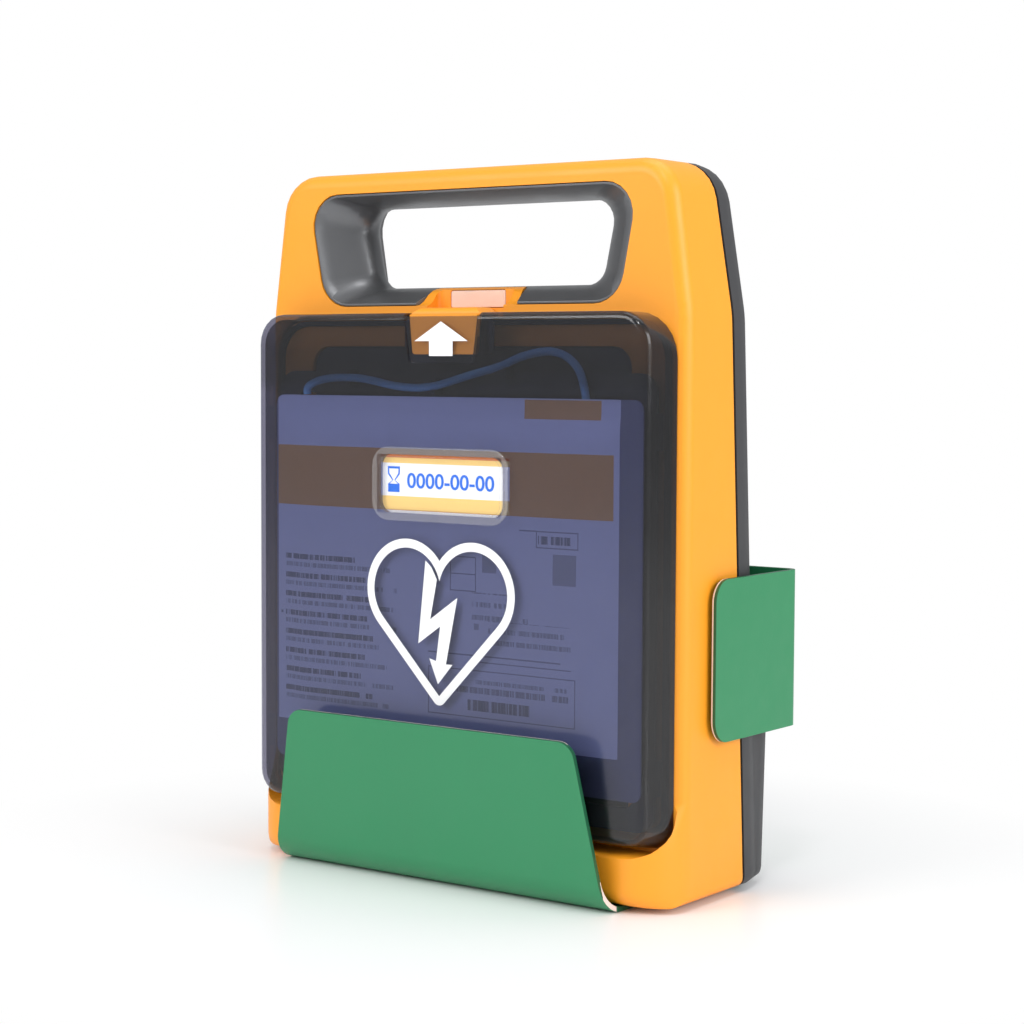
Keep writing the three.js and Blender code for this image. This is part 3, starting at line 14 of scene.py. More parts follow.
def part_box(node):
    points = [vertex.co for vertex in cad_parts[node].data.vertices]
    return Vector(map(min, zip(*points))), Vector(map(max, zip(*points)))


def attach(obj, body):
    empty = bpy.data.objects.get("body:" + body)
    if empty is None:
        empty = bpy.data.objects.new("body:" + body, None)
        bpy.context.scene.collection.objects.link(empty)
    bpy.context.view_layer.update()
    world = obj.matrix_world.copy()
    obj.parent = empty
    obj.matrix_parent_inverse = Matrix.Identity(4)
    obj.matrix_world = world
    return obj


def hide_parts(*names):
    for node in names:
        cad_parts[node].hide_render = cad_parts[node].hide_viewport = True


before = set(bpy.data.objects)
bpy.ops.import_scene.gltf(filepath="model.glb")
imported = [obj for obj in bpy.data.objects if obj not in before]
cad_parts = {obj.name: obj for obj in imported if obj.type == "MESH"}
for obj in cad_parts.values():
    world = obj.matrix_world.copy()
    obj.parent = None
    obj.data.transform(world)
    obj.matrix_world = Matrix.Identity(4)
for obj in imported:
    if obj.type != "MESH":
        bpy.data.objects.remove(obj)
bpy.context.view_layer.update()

MM = 0.001
PRINT_THICKNESS = 0.08 * MM
WELD_DISTANCE = 0.002 * MM  # corners of a CAD node nearer than this are one corner
FLAT_ANGLE = math.radians(0.4)  # facets that turn by less than this are one face
BROKEN_ANGLE = math.radians(38)  # a CAD node's edges that turn by more than this are broken
log = logging.getLogger("defibrillator")

Colour = tuple[float, float, float]
Socket = bpy.types.NodeSocket
Point = tuple[float, float]


def linear(red: int, green: int, blue: int) -> Colour:
    """Turns a display colour of 0 to 255 into the linear colour that a shader reads.

    Args:
        red: Red of the display colour.
        green: Green of the display colour.
        blue: Blue of the display colour.

    Returns:
        The linear colour.
    """

    def decode(value: int) -> float:
        share = value / 255
        return share / 12.92 if share <= 0.04045 else ((share + 0.055) / 1.055) ** 2.4

    return decode(red), decode(green), decode(blue)


def scaled(colour: Colour, factor: float) -> Colour:
    """Returns a colour made lighter or darker by a factor."""
    return tuple(min(1.0, channel * factor) for channel in colour)


@dataclass(frozen=True)
class Extent:
    """The box of a CAD node at rest, in metres."""

    low: Vector
    high: Vector

    @classmethod
    def of(cls, node: str) -> "Extent":
        """Returns the box of a named CAD node."""
        return cls(*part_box(node))

    @property
    def centre(self) -> Vector:
        """Returns the middle of the box."""
        return (self.low + self.high) / 2

    @property
    def size(self) -> Vector:
        """Returns the box's three lengths."""
        return self.high - self.low


class Shader:
    """A node material while it is wired up."""

    def __init__(self, name: str) -> None:
        """Starts a material with one Principled shader.

        Args:
            name: Name of the material.
        """
        self.material = bpy.data.materials.new(name)
        self.material.use_nodes = True
        self.tree = self.material.node_tree
        self.tree.nodes.clear()
        self.output = self.tree.nodes.new("ShaderNodeOutputMaterial")
        self.surface = self.tree.nodes.new("ShaderNodeBsdfPrincipled")
        self.join(self.surface.outputs[0], self.output.inputs["Surface"])
        self.coordinates = self.tree.nodes.new("ShaderNodeTexCoord").outputs["Object"]

    def join(self, source: Socket, target: Socket) -> None:
        """Links an output socket to an input socket."""
        self.tree.links.new(source, target)

    def node(self, kind: str, inputs: dict, **settings: object) -> bpy.types.Node:
        """Adds a node and fills its inputs.

        Args:
            kind: Blender's name of the node.
            inputs: Values or output sockets, by input name or place.
            settings: Properties of the node.

        Returns:
            The new node.
        """
        made = self.tree.nodes.new(kind)
        for key, value in settings.items():
            setattr(made, key, value)
        for key, value in inputs.items():
            if isinstance(value, bpy.types.NodeSocket):
                self.join(value, made.inputs[key])
            elif isinstance(value, tuple) and len(value) == 3 and made.inputs[key].type == "RGBA":
                made.inputs[key].default_value = (*value, 1)
            else:
                made.inputs[key].default_value = value
        return made

    def set(self, **values: object) -> None:
        """Fills the Principled shader's inputs, named with _ for each space.

        Args:
            values: Values or output sockets.
        """
        for key, value in values.items():
            socket = self.surface.inputs[key.replace("_", " ")]
            if isinstance(value, bpy.types.NodeSocket):
                self.join(value, socket)
            elif isinstance(value, tuple) and socket.type == "RGBA":
                socket.default_value = (*value, 1)
            else:
                socket.default_value = value

    def noise(
        self, size: float, detail: float = 2, roughness: float = 0.5, vector: Socket | None = None
    ) -> Socket:
        """Returns a noise pattern whose blotches are about one size across.

        Args:
            size: Size of a blotch, in metres.
            detail: Finer layers in it.
            roughness: Strength of the finer layers.
            vector: Coordinates, or the object's own.

        Returns:
            The noise value.
        """
        inputs = {
            "Vector": vector or self.coordinates,
            "Scale": 1 / size,
            "Detail": detail,
            "Roughness": roughness,
        }
        return self.node("ShaderNodeTexNoise", inputs).outputs[0]

    def math(self, operation: str, first: object, second: object = 0.0, third: object = 0.0) -> Socket:
        """Returns a Math node's value.

        Args:
            operation: Blender's name of the operation.
            first: First value or socket.
            second: Second value or socket.
            third: Third value or socket.

        Returns:
            The result.
        """
        return self.node("ShaderNodeMath", {0: first, 1: second, 2: third}, operation=operation).outputs[0]

    def within(self, value: Socket, low: float, high: float) -> Socket:
        """Returns 1 where a value lies between two limits, and 0 elsewhere."""
        middle, half = (low + high) / 2, (high - low) / 2
        return self.math("COMPARE", value, middle, half)

    def spread(self, value: Socket, low: float, high: float, start: float = 0.0, end: float = 1.0) -> Socket:
        """Returns a value mapped from one range to another, held at its ends."""
        inputs = {"Value": value, "From Min": low, "From Max": high, "To Min": start, "To Max": end}
        return self.node("ShaderNodeMapRange", inputs).outputs[0]

    def mix(self, factor: object, first: object, second: object) -> Socket:
        """Returns a blend of two colours.

        Args:
            factor: Share of the second colour.
            first: First colour or socket.
            second: Second colour or socket.

        Returns:
            The blended colour.
        """
        node = self.node("ShaderNodeMix", {}, data_type="RGBA")
        for place, value in ((0, factor), (6, first), (7, second)):
            if isinstance(value, bpy.types.NodeSocket):
                self.join(value, node.inputs[place])
            else:
                node.inputs[place].default_value = value if place == 0 else (*value, 1)
        return node.outputs[2]

    def bump(
        self, height: Socket, depth: float, strength: float = 1.0, normal: Socket | None = None
    ) -> Socket:
        """Returns a normal that a height pattern has bent.

        Args:
            height: The pattern, from 0 to 1.
            depth: Height of the relief, in metres.
            strength: Share of the effect.
            normal: A normal that was bent before.

        Returns:
            The bent normal.
        """
        inputs = {"Height": height, "Distance": depth, "Strength": strength}
        if normal is not None:
            inputs["Normal"] = normal
        return self.node("ShaderNodeBump", inputs).outputs[0]

    def axes(self) -> tuple[Socket, Socket, Socket]:
        """Returns the object coordinates as three values."""
        parts = self.node("ShaderNodeSeparateXYZ", {0: self.coordinates}).outputs
        return parts[0], parts[1], parts[2]


class Finish:
    """A surface finish that can make its own material once and hand it out."""

    made: dict[str, bpy.types.Material] = {}

    def material(self) -> bpy.types.Material:
        """Returns this finish's material, made on first use."""
        if self.name not in Finish.made:
            Finish.made[self.name] = self.build()
        return Finish.made[self.name]


@dataclass(frozen=True)
class MouldedPlastic(Finish):
    """Injection-moulded plastic with a fine sparked grain."""

    name: str
    colour: Colour
    roughness: float = 0.4
    grain: float = 0.35 * MM
    relief: float = 0.012 * MM
    tone: float = 0.03
    sheen: float = 0.0

    def build(self) -> bpy.types.Material:
        """Returns the plastic's material."""
        shader = Shader(self.name)
        cloud = shader.noise(45 * MM, 3)
        fleck = shader.noise(self.grain * 2.5, 2, 0.6)
        tinted = shader.mix(cloud, scaled(self.colour, 1 - self.tone), scaled(self.colour, 1 + self.tone))
        flecked = shader.mix(shader.spread(fleck, 0.35, 0.65, 0, 0.06), tinted, scaled(self.colour, 0.8))
        grain = shader.noise(self.grain, 2, 0.7)
        handled = shader.noise(18 * MM, 4, 0.6)
        gloss = shader.spread(handled, 0.3, 0.7, self.roughness - 0.04, self.roughness + 0.05)
        shader.set(Base_Color=flecked, Roughness=gloss, Normal=shader.bump(grain, self.relief))
        shader.set(Metallic=self.sheen)
        return shader.material


@dataclass(frozen=True)
class PowderCoat(Finish):
    """Baked powder paint with a faint orange-peel surface."""

    name: str
    colour: Colour
    peel: float = 1.6 * MM

    def build(self) -> bpy.types.Material:
        """Returns the paint's material."""
        shader = Shader(self.name)
        cloud = shader.noise(60 * MM, 2)
        tinted = shader.mix(cloud, scaled(self.colour, 0.96), scaled(self.colour, 1.05))
        dust = shader.spread(shader.noise(0.5 * MM, 3, 0.7), 0.62, 0.75, 0, 0.1)
        speckled = shader.mix(dust, tinted, scaled(self.colour, 1.5))
        peel = shader.bump(shader.noise(self.peel, 2, 0.4), 0.02 * MM)
        fine = shader.bump(shader.noise(0.25 * MM, 2), 0.004 * MM, normal=peel)
        gloss = shader.spread(shader.noise(9 * MM, 3), 0.3, 0.7, 0.34, 0.42)
        shader.set(Base_Color=speckled, Roughness=gloss, Normal=fine)
        return shader.material


@dataclass(frozen=True)
class CutEdge(Finish):
    """The sheet's cut rim in painted shade, a darker green, with a pale painted highlight line along the
    inner edge of its folds.
    """

    name: str
    colour: Colour
    painted_highlight: Colour
    lean: float = 0.081
    lip_line: float = -46.95 * MM
    lip_depth: float = -40 * MM
    lip_middle: float = 39 * MM
    lip_reach: float = 26 * MM
    wing_start: float = 100 * MM
    wing_line: float = 107.7 * MM

    def build(self) -> bpy.types.Material:
        """Returns the rim's material."""
        shader = Shader(self.name)
        x, y, z = shader.axes()
        upright = shader.math("MULTIPLY_ADD", z, self.lean, y)
        ragged = shader.math("MULTIPLY_ADD", shader.noise(1.4 * MM, 3), 0.3 * MM, upright)
        folded = shader.math("GREATER_THAN", ragged, self.lip_line)
        inner = shader.math("MULTIPLY", folded, shader.math("LESS_THAN", y, self.lip_depth))
        away = shader.math("ABSOLUTE", shader.math("SUBTRACT", z, self.lip_middle))
        lip = shader.math("MULTIPLY", inner, shader.math("GREATER_THAN", away, self.lip_reach))
        outside = shader.within(shader.math("ABSOLUTE", x), self.wing_start, self.wing_line)
        wing = shader.math("MULTIPLY", outside, shader.math("LESS_THAN", y, 0.0))
        # mask of the pale painted highlight line, laid over the rim's painted shade
        painted_highlight = shader.math("MAXIMUM", lip, wing)
        shader.set(Base_Color=shader.mix(painted_highlight, self.colour, self.painted_highlight), Roughness=0.4)
        shader.set(Normal=shader.bump(shader.noise(0.4 * MM, 3), 0.015 * MM))
        return shader.material


@dataclass(frozen=True)
class Pane:
    """The bright part of a window, outside which its plastic is frosted."""

    half_width: float
    foot: float
    top: float
    frost: float = 0.15

    def frosting(self, shader: Shader) -> Socket:
        """Returns the share of haze on the window's frame.

        Args:
            shader: The material being made.

        Returns:
            The share, which is 0 on the bright part.
        """
        x, _, z = shader.axes()
        across = shader.within(x, -self.half_width, self.half_width)
        bright = shader.math("MULTIPLY", across, shader.within(z, self.foot, self.top))
        return shader.math("MULTIPLY", shader.math("SUBTRACT", 1.0, bright), self.frost)


@dataclass(frozen=True)
class ThinPatch:
    """A part of the shell that is half as thick: the latch's dish, wider towards the top."""

    foot: float
    foot_half_width: float
    flare: float

    def inside(self, shader: Shader) -> Socket:
        """Returns 1 on the patch and 0 elsewhere.

        Args:
            shader: The material being made.

        Returns:
            The mask.
        """
        x, _, z = shader.axes()
        rise = shader.math("SUBTRACT", z, self.foot)
        reach = shader.math("MULTIPLY_ADD", rise, self.flare, self.foot_half_width)
        across = shader.math("LESS_THAN", shader.math("ABSOLUTE", x), reach)
        return shader.math("MULTIPLY", across, shader.math("GREATER_THAN", z, self.foot))


@dataclass(frozen=True)
class SmokedShell(Finish):
    """Tinted clear plastic: light passes with a tint, under a faint haze and a soft gloss."""

    name: str
    passed: Colour
    haze: Colour
    haze_share: float
    edge_passed: Colour
    edge_haze: Colour
    edge_share: float = 0.3
    roughness: float = 0.16
    frost: float = 0.3 * MM
    pane: Pane | None = None
    thin: ThinPatch | None = None
    wall_passed: Colour | None = None
    wall_start: float = -40.6 * MM
    # painted shade above the pouch: the tint is darkened by this factor between these heights
    shade: float = 1.0
    shade_foot: float = 197 * MM
    shade_top: float = 226 * MM

    def build(self) -> bpy.types.Material:
        """Returns the smoked plastic's material."""
        shader = Shader(self.name)
        grain = shader.bump(shader.noise(self.frost, 2, 0.7), 0.006 * MM)
        facing = shader.node("ShaderNodeLayerWeight", {"Blend": 0.5}).outputs["Facing"]
        turned = shader.spread(facing, 0.3, 0.8)
        back = shader.node("ShaderNodeNewGeometry", {}).outputs["Backfacing"]
        outer = shader.math("SUBTRACT", 1.0, back)
        speck = shader.noise(0.7 * MM, 3, 0.8)
        milk = shader.mix(speck, scaled(self.haze, 0.7), scaled(self.haze, 1.3))
        shader.set(Base_Color=shader.mix(turned, milk, self.edge_haze), Roughness=0.6, Normal=grain)
        shader.set(Specular_IOR_Level=0.0)
        tint = shader.mix(turned, self.passed, self.edge_passed)
        if self.thin is not None:
            halved = tuple(channel**0.5 for channel in self.passed)
            # away from the dish, the tint carries painted shade above the pouch
            tint = shader.mix(self.thin.inside(shader), self.shaded(shader, tint), halved)
        if self.wall_passed is not None:
            _, y, _ = shader.axes()
            tint = shader.mix(shader.math("GREATER_THAN", y, self.wall_start), tint, self.wall_passed)
        clear = shader.node("ShaderNodeBsdfTransparent", {0: tint})
        share = shader.spread(facing, 0.3, 0.9, self.haze_share, self.edge_share)
        if self.pane is not None:
            share = shader.math("MAXIMUM", share, self.pane.frosting(shader))
        hazed = shader.math("MULTIPLY", share, outer)
        milky = shader.surface.outputs[0]
        body = shader.node("ShaderNodeMixShader", {0: hazed, 1: clear.outputs[0], 2: milky})
        cloud = shader.noise(14 * MM, 3)
        gloss = shader.spread(cloud, 0.3, 0.7, self.roughness - 0.03, self.roughness + 0.04)
        lustre = {"Color": (1.0, 1.0, 1.0), "Roughness": gloss, "Normal": grain}
        shine = shader.node("ShaderNodeBsdfAnisotropic", lustre)
        fresnel = shader.node("ShaderNodeFresnel", {"IOR": 1.5, "Normal": grain}).outputs[0]
        shiny = shader.math("MULTIPLY", fresnel, outer)
        both = shader.node("ShaderNodeMixShader", {0: shiny, 1: body.outputs[0], 2: shine.outputs[0]})
        shader.join(both.outputs[0], shader.output.inputs["Surface"])
        return shader.material

    def shaded(self, shader: Shader, tint: Socket) -> Socket:
        """Returns the tint with painted shade: darker above the pouch, the shade fading out towards the top.

        Args:
            shader: The material being made.
            tint: The plain tint.

        Returns:
            The shaded tint.
        """
        _, _, z = shader.axes()
        rise = shader.spread(z, self.shade_foot, self.shade_foot + 5 * MM)
        shade_fading = shader.spread(z, self.shade_top - 12 * MM, self.shade_top, 1.0, 0.1)
        shade_share = shader.math("MULTIPLY", rise, shade_fading)
        factor = shader.math("MULTIPLY_ADD", shade_share, self.shade - 1.0, 1.0)
        return shader.mix(factor, (0.0, 0.0, 0.0), tint)


@dataclass(frozen=True)
class Rubber(Finish):
    """Dull moulded rubber."""

    name: str
    colour: Colour

    def build(self) -> bpy.types.Material:
        """Returns the rubber's material."""
        shader = Shader(self.name)
        cloud = shader.noise(12 * MM, 3)
        tinted = shader.mix(cloud, scaled(self.colour, 0.8), scaled(self.colour, 1.25))
        normal = shader.bump(shader.noise(0.3 * MM, 3, 0.7), 0.015 * MM)
        shader.set(Base_Color=tinted, Roughness=0.75, Normal=normal)
        return shader.material


@dataclass(frozen=True)
class BareMetal(Finish):
    """Drawn or turned metal with fine lines along one axis."""

    name: str
    colour: Colour
    roughness: float = 0.3

    def build(self) -> bpy.types.Material:
        """Returns the metal's material."""
        shader = Shader(self.name)
        stretched = shader.node("ShaderNodeMapping", {"Vector": shader.coordinates, "Scale": (1, 14, 14)})
        lines = shader.noise(1.2 * MM, 3, 0.6, stretched.outputs[0])
        tinted = shader.mix(lines, scaled(self.colour, 0.85), scaled(self.colour, 1.1))
        gloss = shader.spread(lines, 0.3, 0.7, self.roughness - 0.06, self.roughness + 0.08)
        shader.set(Base_Color=tinted, Roughness=gloss, Metallic=1.0, Normal=shader.bump(lines, 0.004 * MM))
        return shader.material


@dataclass(frozen=True)
class Ink(Finish):
    """Screen-printed ink, a hair thick, with a faint mottle; some inks are given a painted glow that lightens
    them.
    """

    name: str
    colour: Colour
    painted_glow: float = 0.0

    def build(self) -> bpy.types.Material:
        """Returns the ink's material."""
        shader = Shader(self.name)
        mottle = shader.noise(1.5 * MM, 4, 0.7)
        tinted = shader.mix(mottle, scaled(self.colour, 0.95), self.colour)
        normal = shader.bump(shader.noise(0.2 * MM, 2), 0.004 * MM)
        shader.set(Base_Color=tinted, Roughness=0.5, Normal=normal)
        # painted glow: the ink gives off a little light of its own
        shader.set(Emission_Color=tinted, Emission_Strength=self.painted_glow)
        return shader.material


@dataclass(frozen=True)
class LampWindow(Finish):
    """Milky plastic that spreads the light of a lamp behind it."""

    name: str
    colour: Colour

    def build(self) -> bpy.types.Material:
        """Returns the window's material."""
        shader = Shader(self.name)
        cloud = shader.noise(8 * MM, 2)
        tinted = shader.mix(cloud, scaled(self.colour, 0.94), scaled(self.colour, 1.05))
        normal = shader.bump(shader.noise(0.3 * MM, 2), 0.006 * MM)
        shader.set(Base_Color=tinted, Roughness=0.3, Normal=normal)
        shader.set(Subsurface_Weight=0.35, Subsurface_Scale=2 * MM, Subsurface_Radius=(1.0, 0.8, 0.7))
        return shader.material


@dataclass(frozen=True)
class Laminate(Finish):
    """A green circuit board with copper tracks under its lacquer."""

    name: str
    colour: Colour

    def build(self) -> bpy.types.Material:
        """Returns the board's material."""
        shader = Shader(self.name)
        upright = {"Vector": shader.coordinates, "Rotation": (math.pi / 2, 0, 0)}
        turned = shader.node("ShaderNodeMapping", upright)
        cells = {"Vector": turned.outputs[0], "Scale": 160.0, "Mortar Size": 0.05, "Row Height": 0.35}
        tracks = shader.node("ShaderNodeTexBrick", cells).outputs["Fac"]
        copper = shader.mix(tracks, self.colour, scaled(self.colour, 2.2))
        shader.set(Base_Color=copper, Roughness=0.3, Normal=shader.bump(tracks, 0.03 * MM))
        return shader.material


@dataclass(frozen=True)
class Area:
    """An upright rectangle on the pouch, in millimetres."""

    left: float
    right: float
    foot: float
    top: float

    def inside(self, shader: Shader, x: Socket, z: Socket, inset: float = 0.0) -> Socket:
        """Returns 1 inside the rectangle and 0 elsewhere.

        Args:
            shader: The material being made.
            x: Sideways coordinate.
            z: Upward coordinate.
            inset: How far the rectangle is drawn in, in millimetres.

        Returns:
            The mask.
        """
        across = shader.within(x, (self.left + inset) * MM, (self.right - inset) * MM)
        upright = shader.within(z, (self.foot + inset) * MM, (self.top - inset) * MM)
        return shader.math("MULTIPLY", across, upright)


@dataclass(frozen=True)
class TextRows:
    """Rows of unreadable small print, in millimetres."""

    area: Area
    pitch: float
    height: float
    stroke: float = 1.1
    gaps: float = 0.44
    weight: float = 0.8

    def ink(self, shader: Shader, x: Socket, z: Socket) -> Socket:
        """Returns how strongly the rows are inked at a point.

        Args:
            shader: The material being made.
            x: Sideways coordinate.
            z: Upward coordinate.

        Returns:
            The ink's share.
        """
        count = shader.math("DIVIDE", shader.math("SUBTRACT", z, self.area.foot * MM), self.pitch * MM)
        in_row = shader.math("LESS_THAN", shader.math("FRACT", count), self.height / self.pitch)
        row = shader.math("FLOOR", count)
        spot = shader.node("ShaderNodeCombineXYZ", {0: x, 1: shader.math("MULTIPLY", row, 0.37)})
        strokes = shader.noise(self.stroke * MM, 2, 0.8, spot.outputs[0])
        words = shader.noise(9 * MM, 1, 0.3, spot.outputs[0])
        end = shader.math("MULTIPLY_ADD", words, -60 * MM, (self.area.right + 24) * MM)
        letters = shader.spread(strokes, self.gaps - 0.06, self.gaps + 0.06)
        written = shader.math("MULTIPLY", letters, shader.math("LESS_THAN", x, end))
        mask = shader.math("MULTIPLY", in_row, self.area.inside(shader, x, z))
        return shader.math("MULTIPLY", shader.math("MULTIPLY", mask, written), self.weight)


@dataclass(frozen=True)
class LabelledFilm(Finish):
    """Foil film with a white label: warm bands, framed fields and rows of unreadable small print."""

    name: str
    label: Area = Area(-90, 82.8, 59, 196.5)
    warm_areas: tuple[Area, ...] = (Area(-90, 80.5, 150, 175), Area(38, 74, 188, 195.5))
    frames: tuple[Area, ...] = (Area(-8, 64, 68.8, 88), Area(45, 65, 138, 144.8), Area(3, 16, 119, 133))
    rules: tuple[Area, ...] = (
        Area(-8, 57, 93.4, 94), Area(18, 62, 91, 91.5), Area(37, 45, 144.3, 144.9), Area(3, 16, 125.7, 126.2),
    )
    blots: tuple[Area, ...] = (Area(53, 64, 124, 136), Area(15, 17.5, 104, 106.5), Area(19, 26, 127, 134))
    film: Colour = (0.21, 0.21, 0.27)
    paper: Colour = (0.87, 0.87, 0.88)
    warm: Colour = (0.92, 0.47, 0.145)
    ink: Colour = (0.05, 0.055, 0.07)

    def union(self, shader: Shader, masks: Sequence[Socket]) -> Socket:
        """Returns the largest of several masks.

        Args:
            shader: The material being made.
            masks: The masks, one at least.

        Returns:
            The mask of them all.
        """
        whole = masks[0]
        for mask in masks[1:]:
            whole = shader.math("MAXIMUM", whole, mask)
        return whole

    def build(self) -> bpy.types.Material:
        """Returns the film's material."""
        shader = Shader(self.name)
        x, _, z = shader.axes()
        cloud = shader.noise(30 * MM, 3)
        foil = shader.mix(cloud, scaled(self.film, 0.85), scaled(self.film, 1.2))
        paper = shader.mix(cloud, scaled(self.paper, 0.95), scaled(self.paper, 1.03))
        labelled = shader.mix(self.label.inside(shader, x, z), foil, paper)
        warm = self.union(shader, [area.inside(shader, x, z) for area in self.warm_areas])
        coloured = shader.mix(warm, labelled, self.warm)
        lines = [self.outline(shader, x, z, area) for area in self.frames]
        lines += [area.inside(shader, x, z) for area in self.rules]
        drawn = shader.math("MULTIPLY", self.union(shader, lines), 0.55)
        spots = [area.inside(shader, x, z) for area in self.blots]
        blots = shader.math("MULTIPLY", self.union(shader, spots), 0.45)
        ink = self.union(shader, [drawn, blots, *(rows.ink(shader, x, z) for rows in SMALL_PRINT)])
        printed = shader.mix(ink, coloured, self.ink)
        crinkle = shader.bump(shader.noise(9 * MM, 4, 0.6), 0.25 * MM, 0.4)
        fine = shader.bump(shader.noise(0.8 * MM, 2), 0.01 * MM, normal=crinkle)
        gloss = shader.spread(cloud, 0.3, 0.7, 0.32, 0.42)
        shader.set(Base_Color=printed, Roughness=gloss, Normal=fine)
        return shader.material

    def outline(self, shader: Shader, x: Socket, z: Socket, area: Area) -> Socket:
        """Returns a thin line round a rectangle."""
        return shader.math("SUBTRACT", area.inside(shader, x, z), area.inside(shader, x, z, 0.5))


SMALL_PRINT = (
    TextRows(Area(-86, -34, 71.4, 129.6), 7.97, 2.2, 1.1, 0.42, 0.75),
    TextRows(Area(-86, -24, 68.2, 126.0), 7.97, 1.9, 0.9, 0.46, 0.5),
    TextRows(Area(-88.6, -87.4, 72.0, 129.6), 7.97, 1.1, 6.0, 0.0, 0.7),
    TextRows(Area(46, 64, 139.6, 143.4), 8.0, 3.2, 1.6, 0.44, 0.7),
    TextRows(Area(14, 42, 108, 119), 5.2, 2.0, 1.2, 0.46, 0.5),
    TextRows(Area(22, 66, 98.5, 108), 4.6, 2.0, 1.2, 0.46, 0.5),
    TextRows(Area(16, 60, 82.4, 86), 6.0, 1.7, 1.0, 0.46, 0.5),
    TextRows(Area(2, 62, 78.6, 81.4), 6.0, 2.5, 1.2, 0.45, 0.6),
    TextRows(Area(12, 46, 71.6, 77), 8.0, 4.4, 2.2, 0.44, 0.75),
)


class Colours:
    """The object's colours, as linear values."""

    ORANGE = linear(252, 161, 34)
    DARK = linear(58, 58, 60)
    GRIP = linear(108, 109, 111)
    GREEN = linear(40, 132, 85)
    # painted shade on the sheet's rim, and the pale painted highlight along its inner edge
    RIM_SHADE_GREEN = linear(26, 92, 60)
    RIM_HIGHLIGHT = linear(240, 222, 214)


ORANGE_PLASTIC = MouldedPlastic("orange_plastic", Colours.ORANGE, 0.42)
DARK_PLASTIC = MouldedPlastic("dark_plastic", Colours.DARK, 0.5, tone=0.06)
GRIP_PLASTIC = MouldedPlastic("grip_plastic", Colours.GRIP, 0.33, grain=0.25 * MM, tone=0.05, sheen=0.6)
PANEL_PLASTIC = MouldedPlastic("panel_plastic", linear(48, 49, 52), 0.5, tone=0.06)
BUTTON_PLASTIC = MouldedPlastic("button_plastic", linear(245, 110, 20), 0.35)
PLUG_PLASTIC = MouldedPlastic("plug_plastic", linear(205, 206, 208), 0.45)
GREEN_COAT = PowderCoat("green_coat", Colours.GREEN)
RIM_SHADE_COAT = CutEdge("rim_shade_and_highlight", Colours.RIM_SHADE_GREEN, Colours.RIM_HIGHLIGHT)
SMOKED = SmokedShell(
    "smoked_plastic",
    passed=(0.565, 0.585, 0.71),
    haze=(0.4, 0.4, 0.42),
    haze_share=0.018,
    edge_passed=(0.3, 0.3, 0.42),
    edge_haze=(0.03, 0.03, 0.04),
    thin=ThinPatch(209.5 * MM, 16 * MM, 0.132),
    wall_passed=(0.3, 0.28, 0.33),
    shade=0.72,
)
CLEAR = SmokedShell(
    "clear_plastic",
    passed=(0.985, 0.985, 0.99),
    haze=(0.8, 0.76, 0.74),
    haze_share=0.01,
    edge_passed=(0.9, 0.9, 0.92),
    edge_haze=(0.6, 0.6, 0.62),
    edge_share=0.25,
    roughness=0.08,
    pane=Pane(31.3 * MM, 149.0 * MM, 172.8 * MM),
)
GASKET = Rubber("gasket_rubber", (0.012, 0.012, 0.014))
JACKET = Rubber("lead_jacket", linear(150, 215, 250))
STEEL = BareMetal("pin_steel", (0.62, 0.63, 0.64))
BOARD = Laminate("board_laminate", (0.02, 0.12, 0.05))
CAN = MouldedPlastic("can_sleeve", (0.012, 0.016, 0.035), 0.25)
WINDOW = LampWindow("pale_window", linear(248, 214, 196))
WHITE_INK = Ink("white_ink", (0.93, 0.93, 0.93))
BLUE_INK = Ink("blue_ink", linear(0, 118, 242))
WARM_INK = Ink("warm_ink", linear(240, 128, 46))
# the band and paper inks carry a painted glow that lightens them
BAND_INK = Ink("band_ink", linear(255, 216, 130), 0.1)
PAPER_INK = Ink("paper_ink", (0.95, 0.95, 0.95), 0.14)


def deselect() -> None:
    """Leaves object mode with nothing selected."""
    if bpy.context.mode != "OBJECT":
        bpy.ops.object.mode_set(mode="OBJECT")
    bpy.ops.object.select_all(action="DESELECT")


def activate(*objects: bpy.types.Object) -> None:
    """Selects only these objects and makes the first one active."""
    deselect()
    for one in objects:
        one.select_set(True)
    bpy.context.view_layer.objects.active = objects[0]


class Element(Enum):
    """What is picked in edit mode."""

    VERTEX = "VERT"
    EDGE = "EDGE"


class Primitive(Enum):
    """The starting shapes."""

    PLANE = "plane"
    CUBE = "cube"
    CYLINDER = "cylinder"


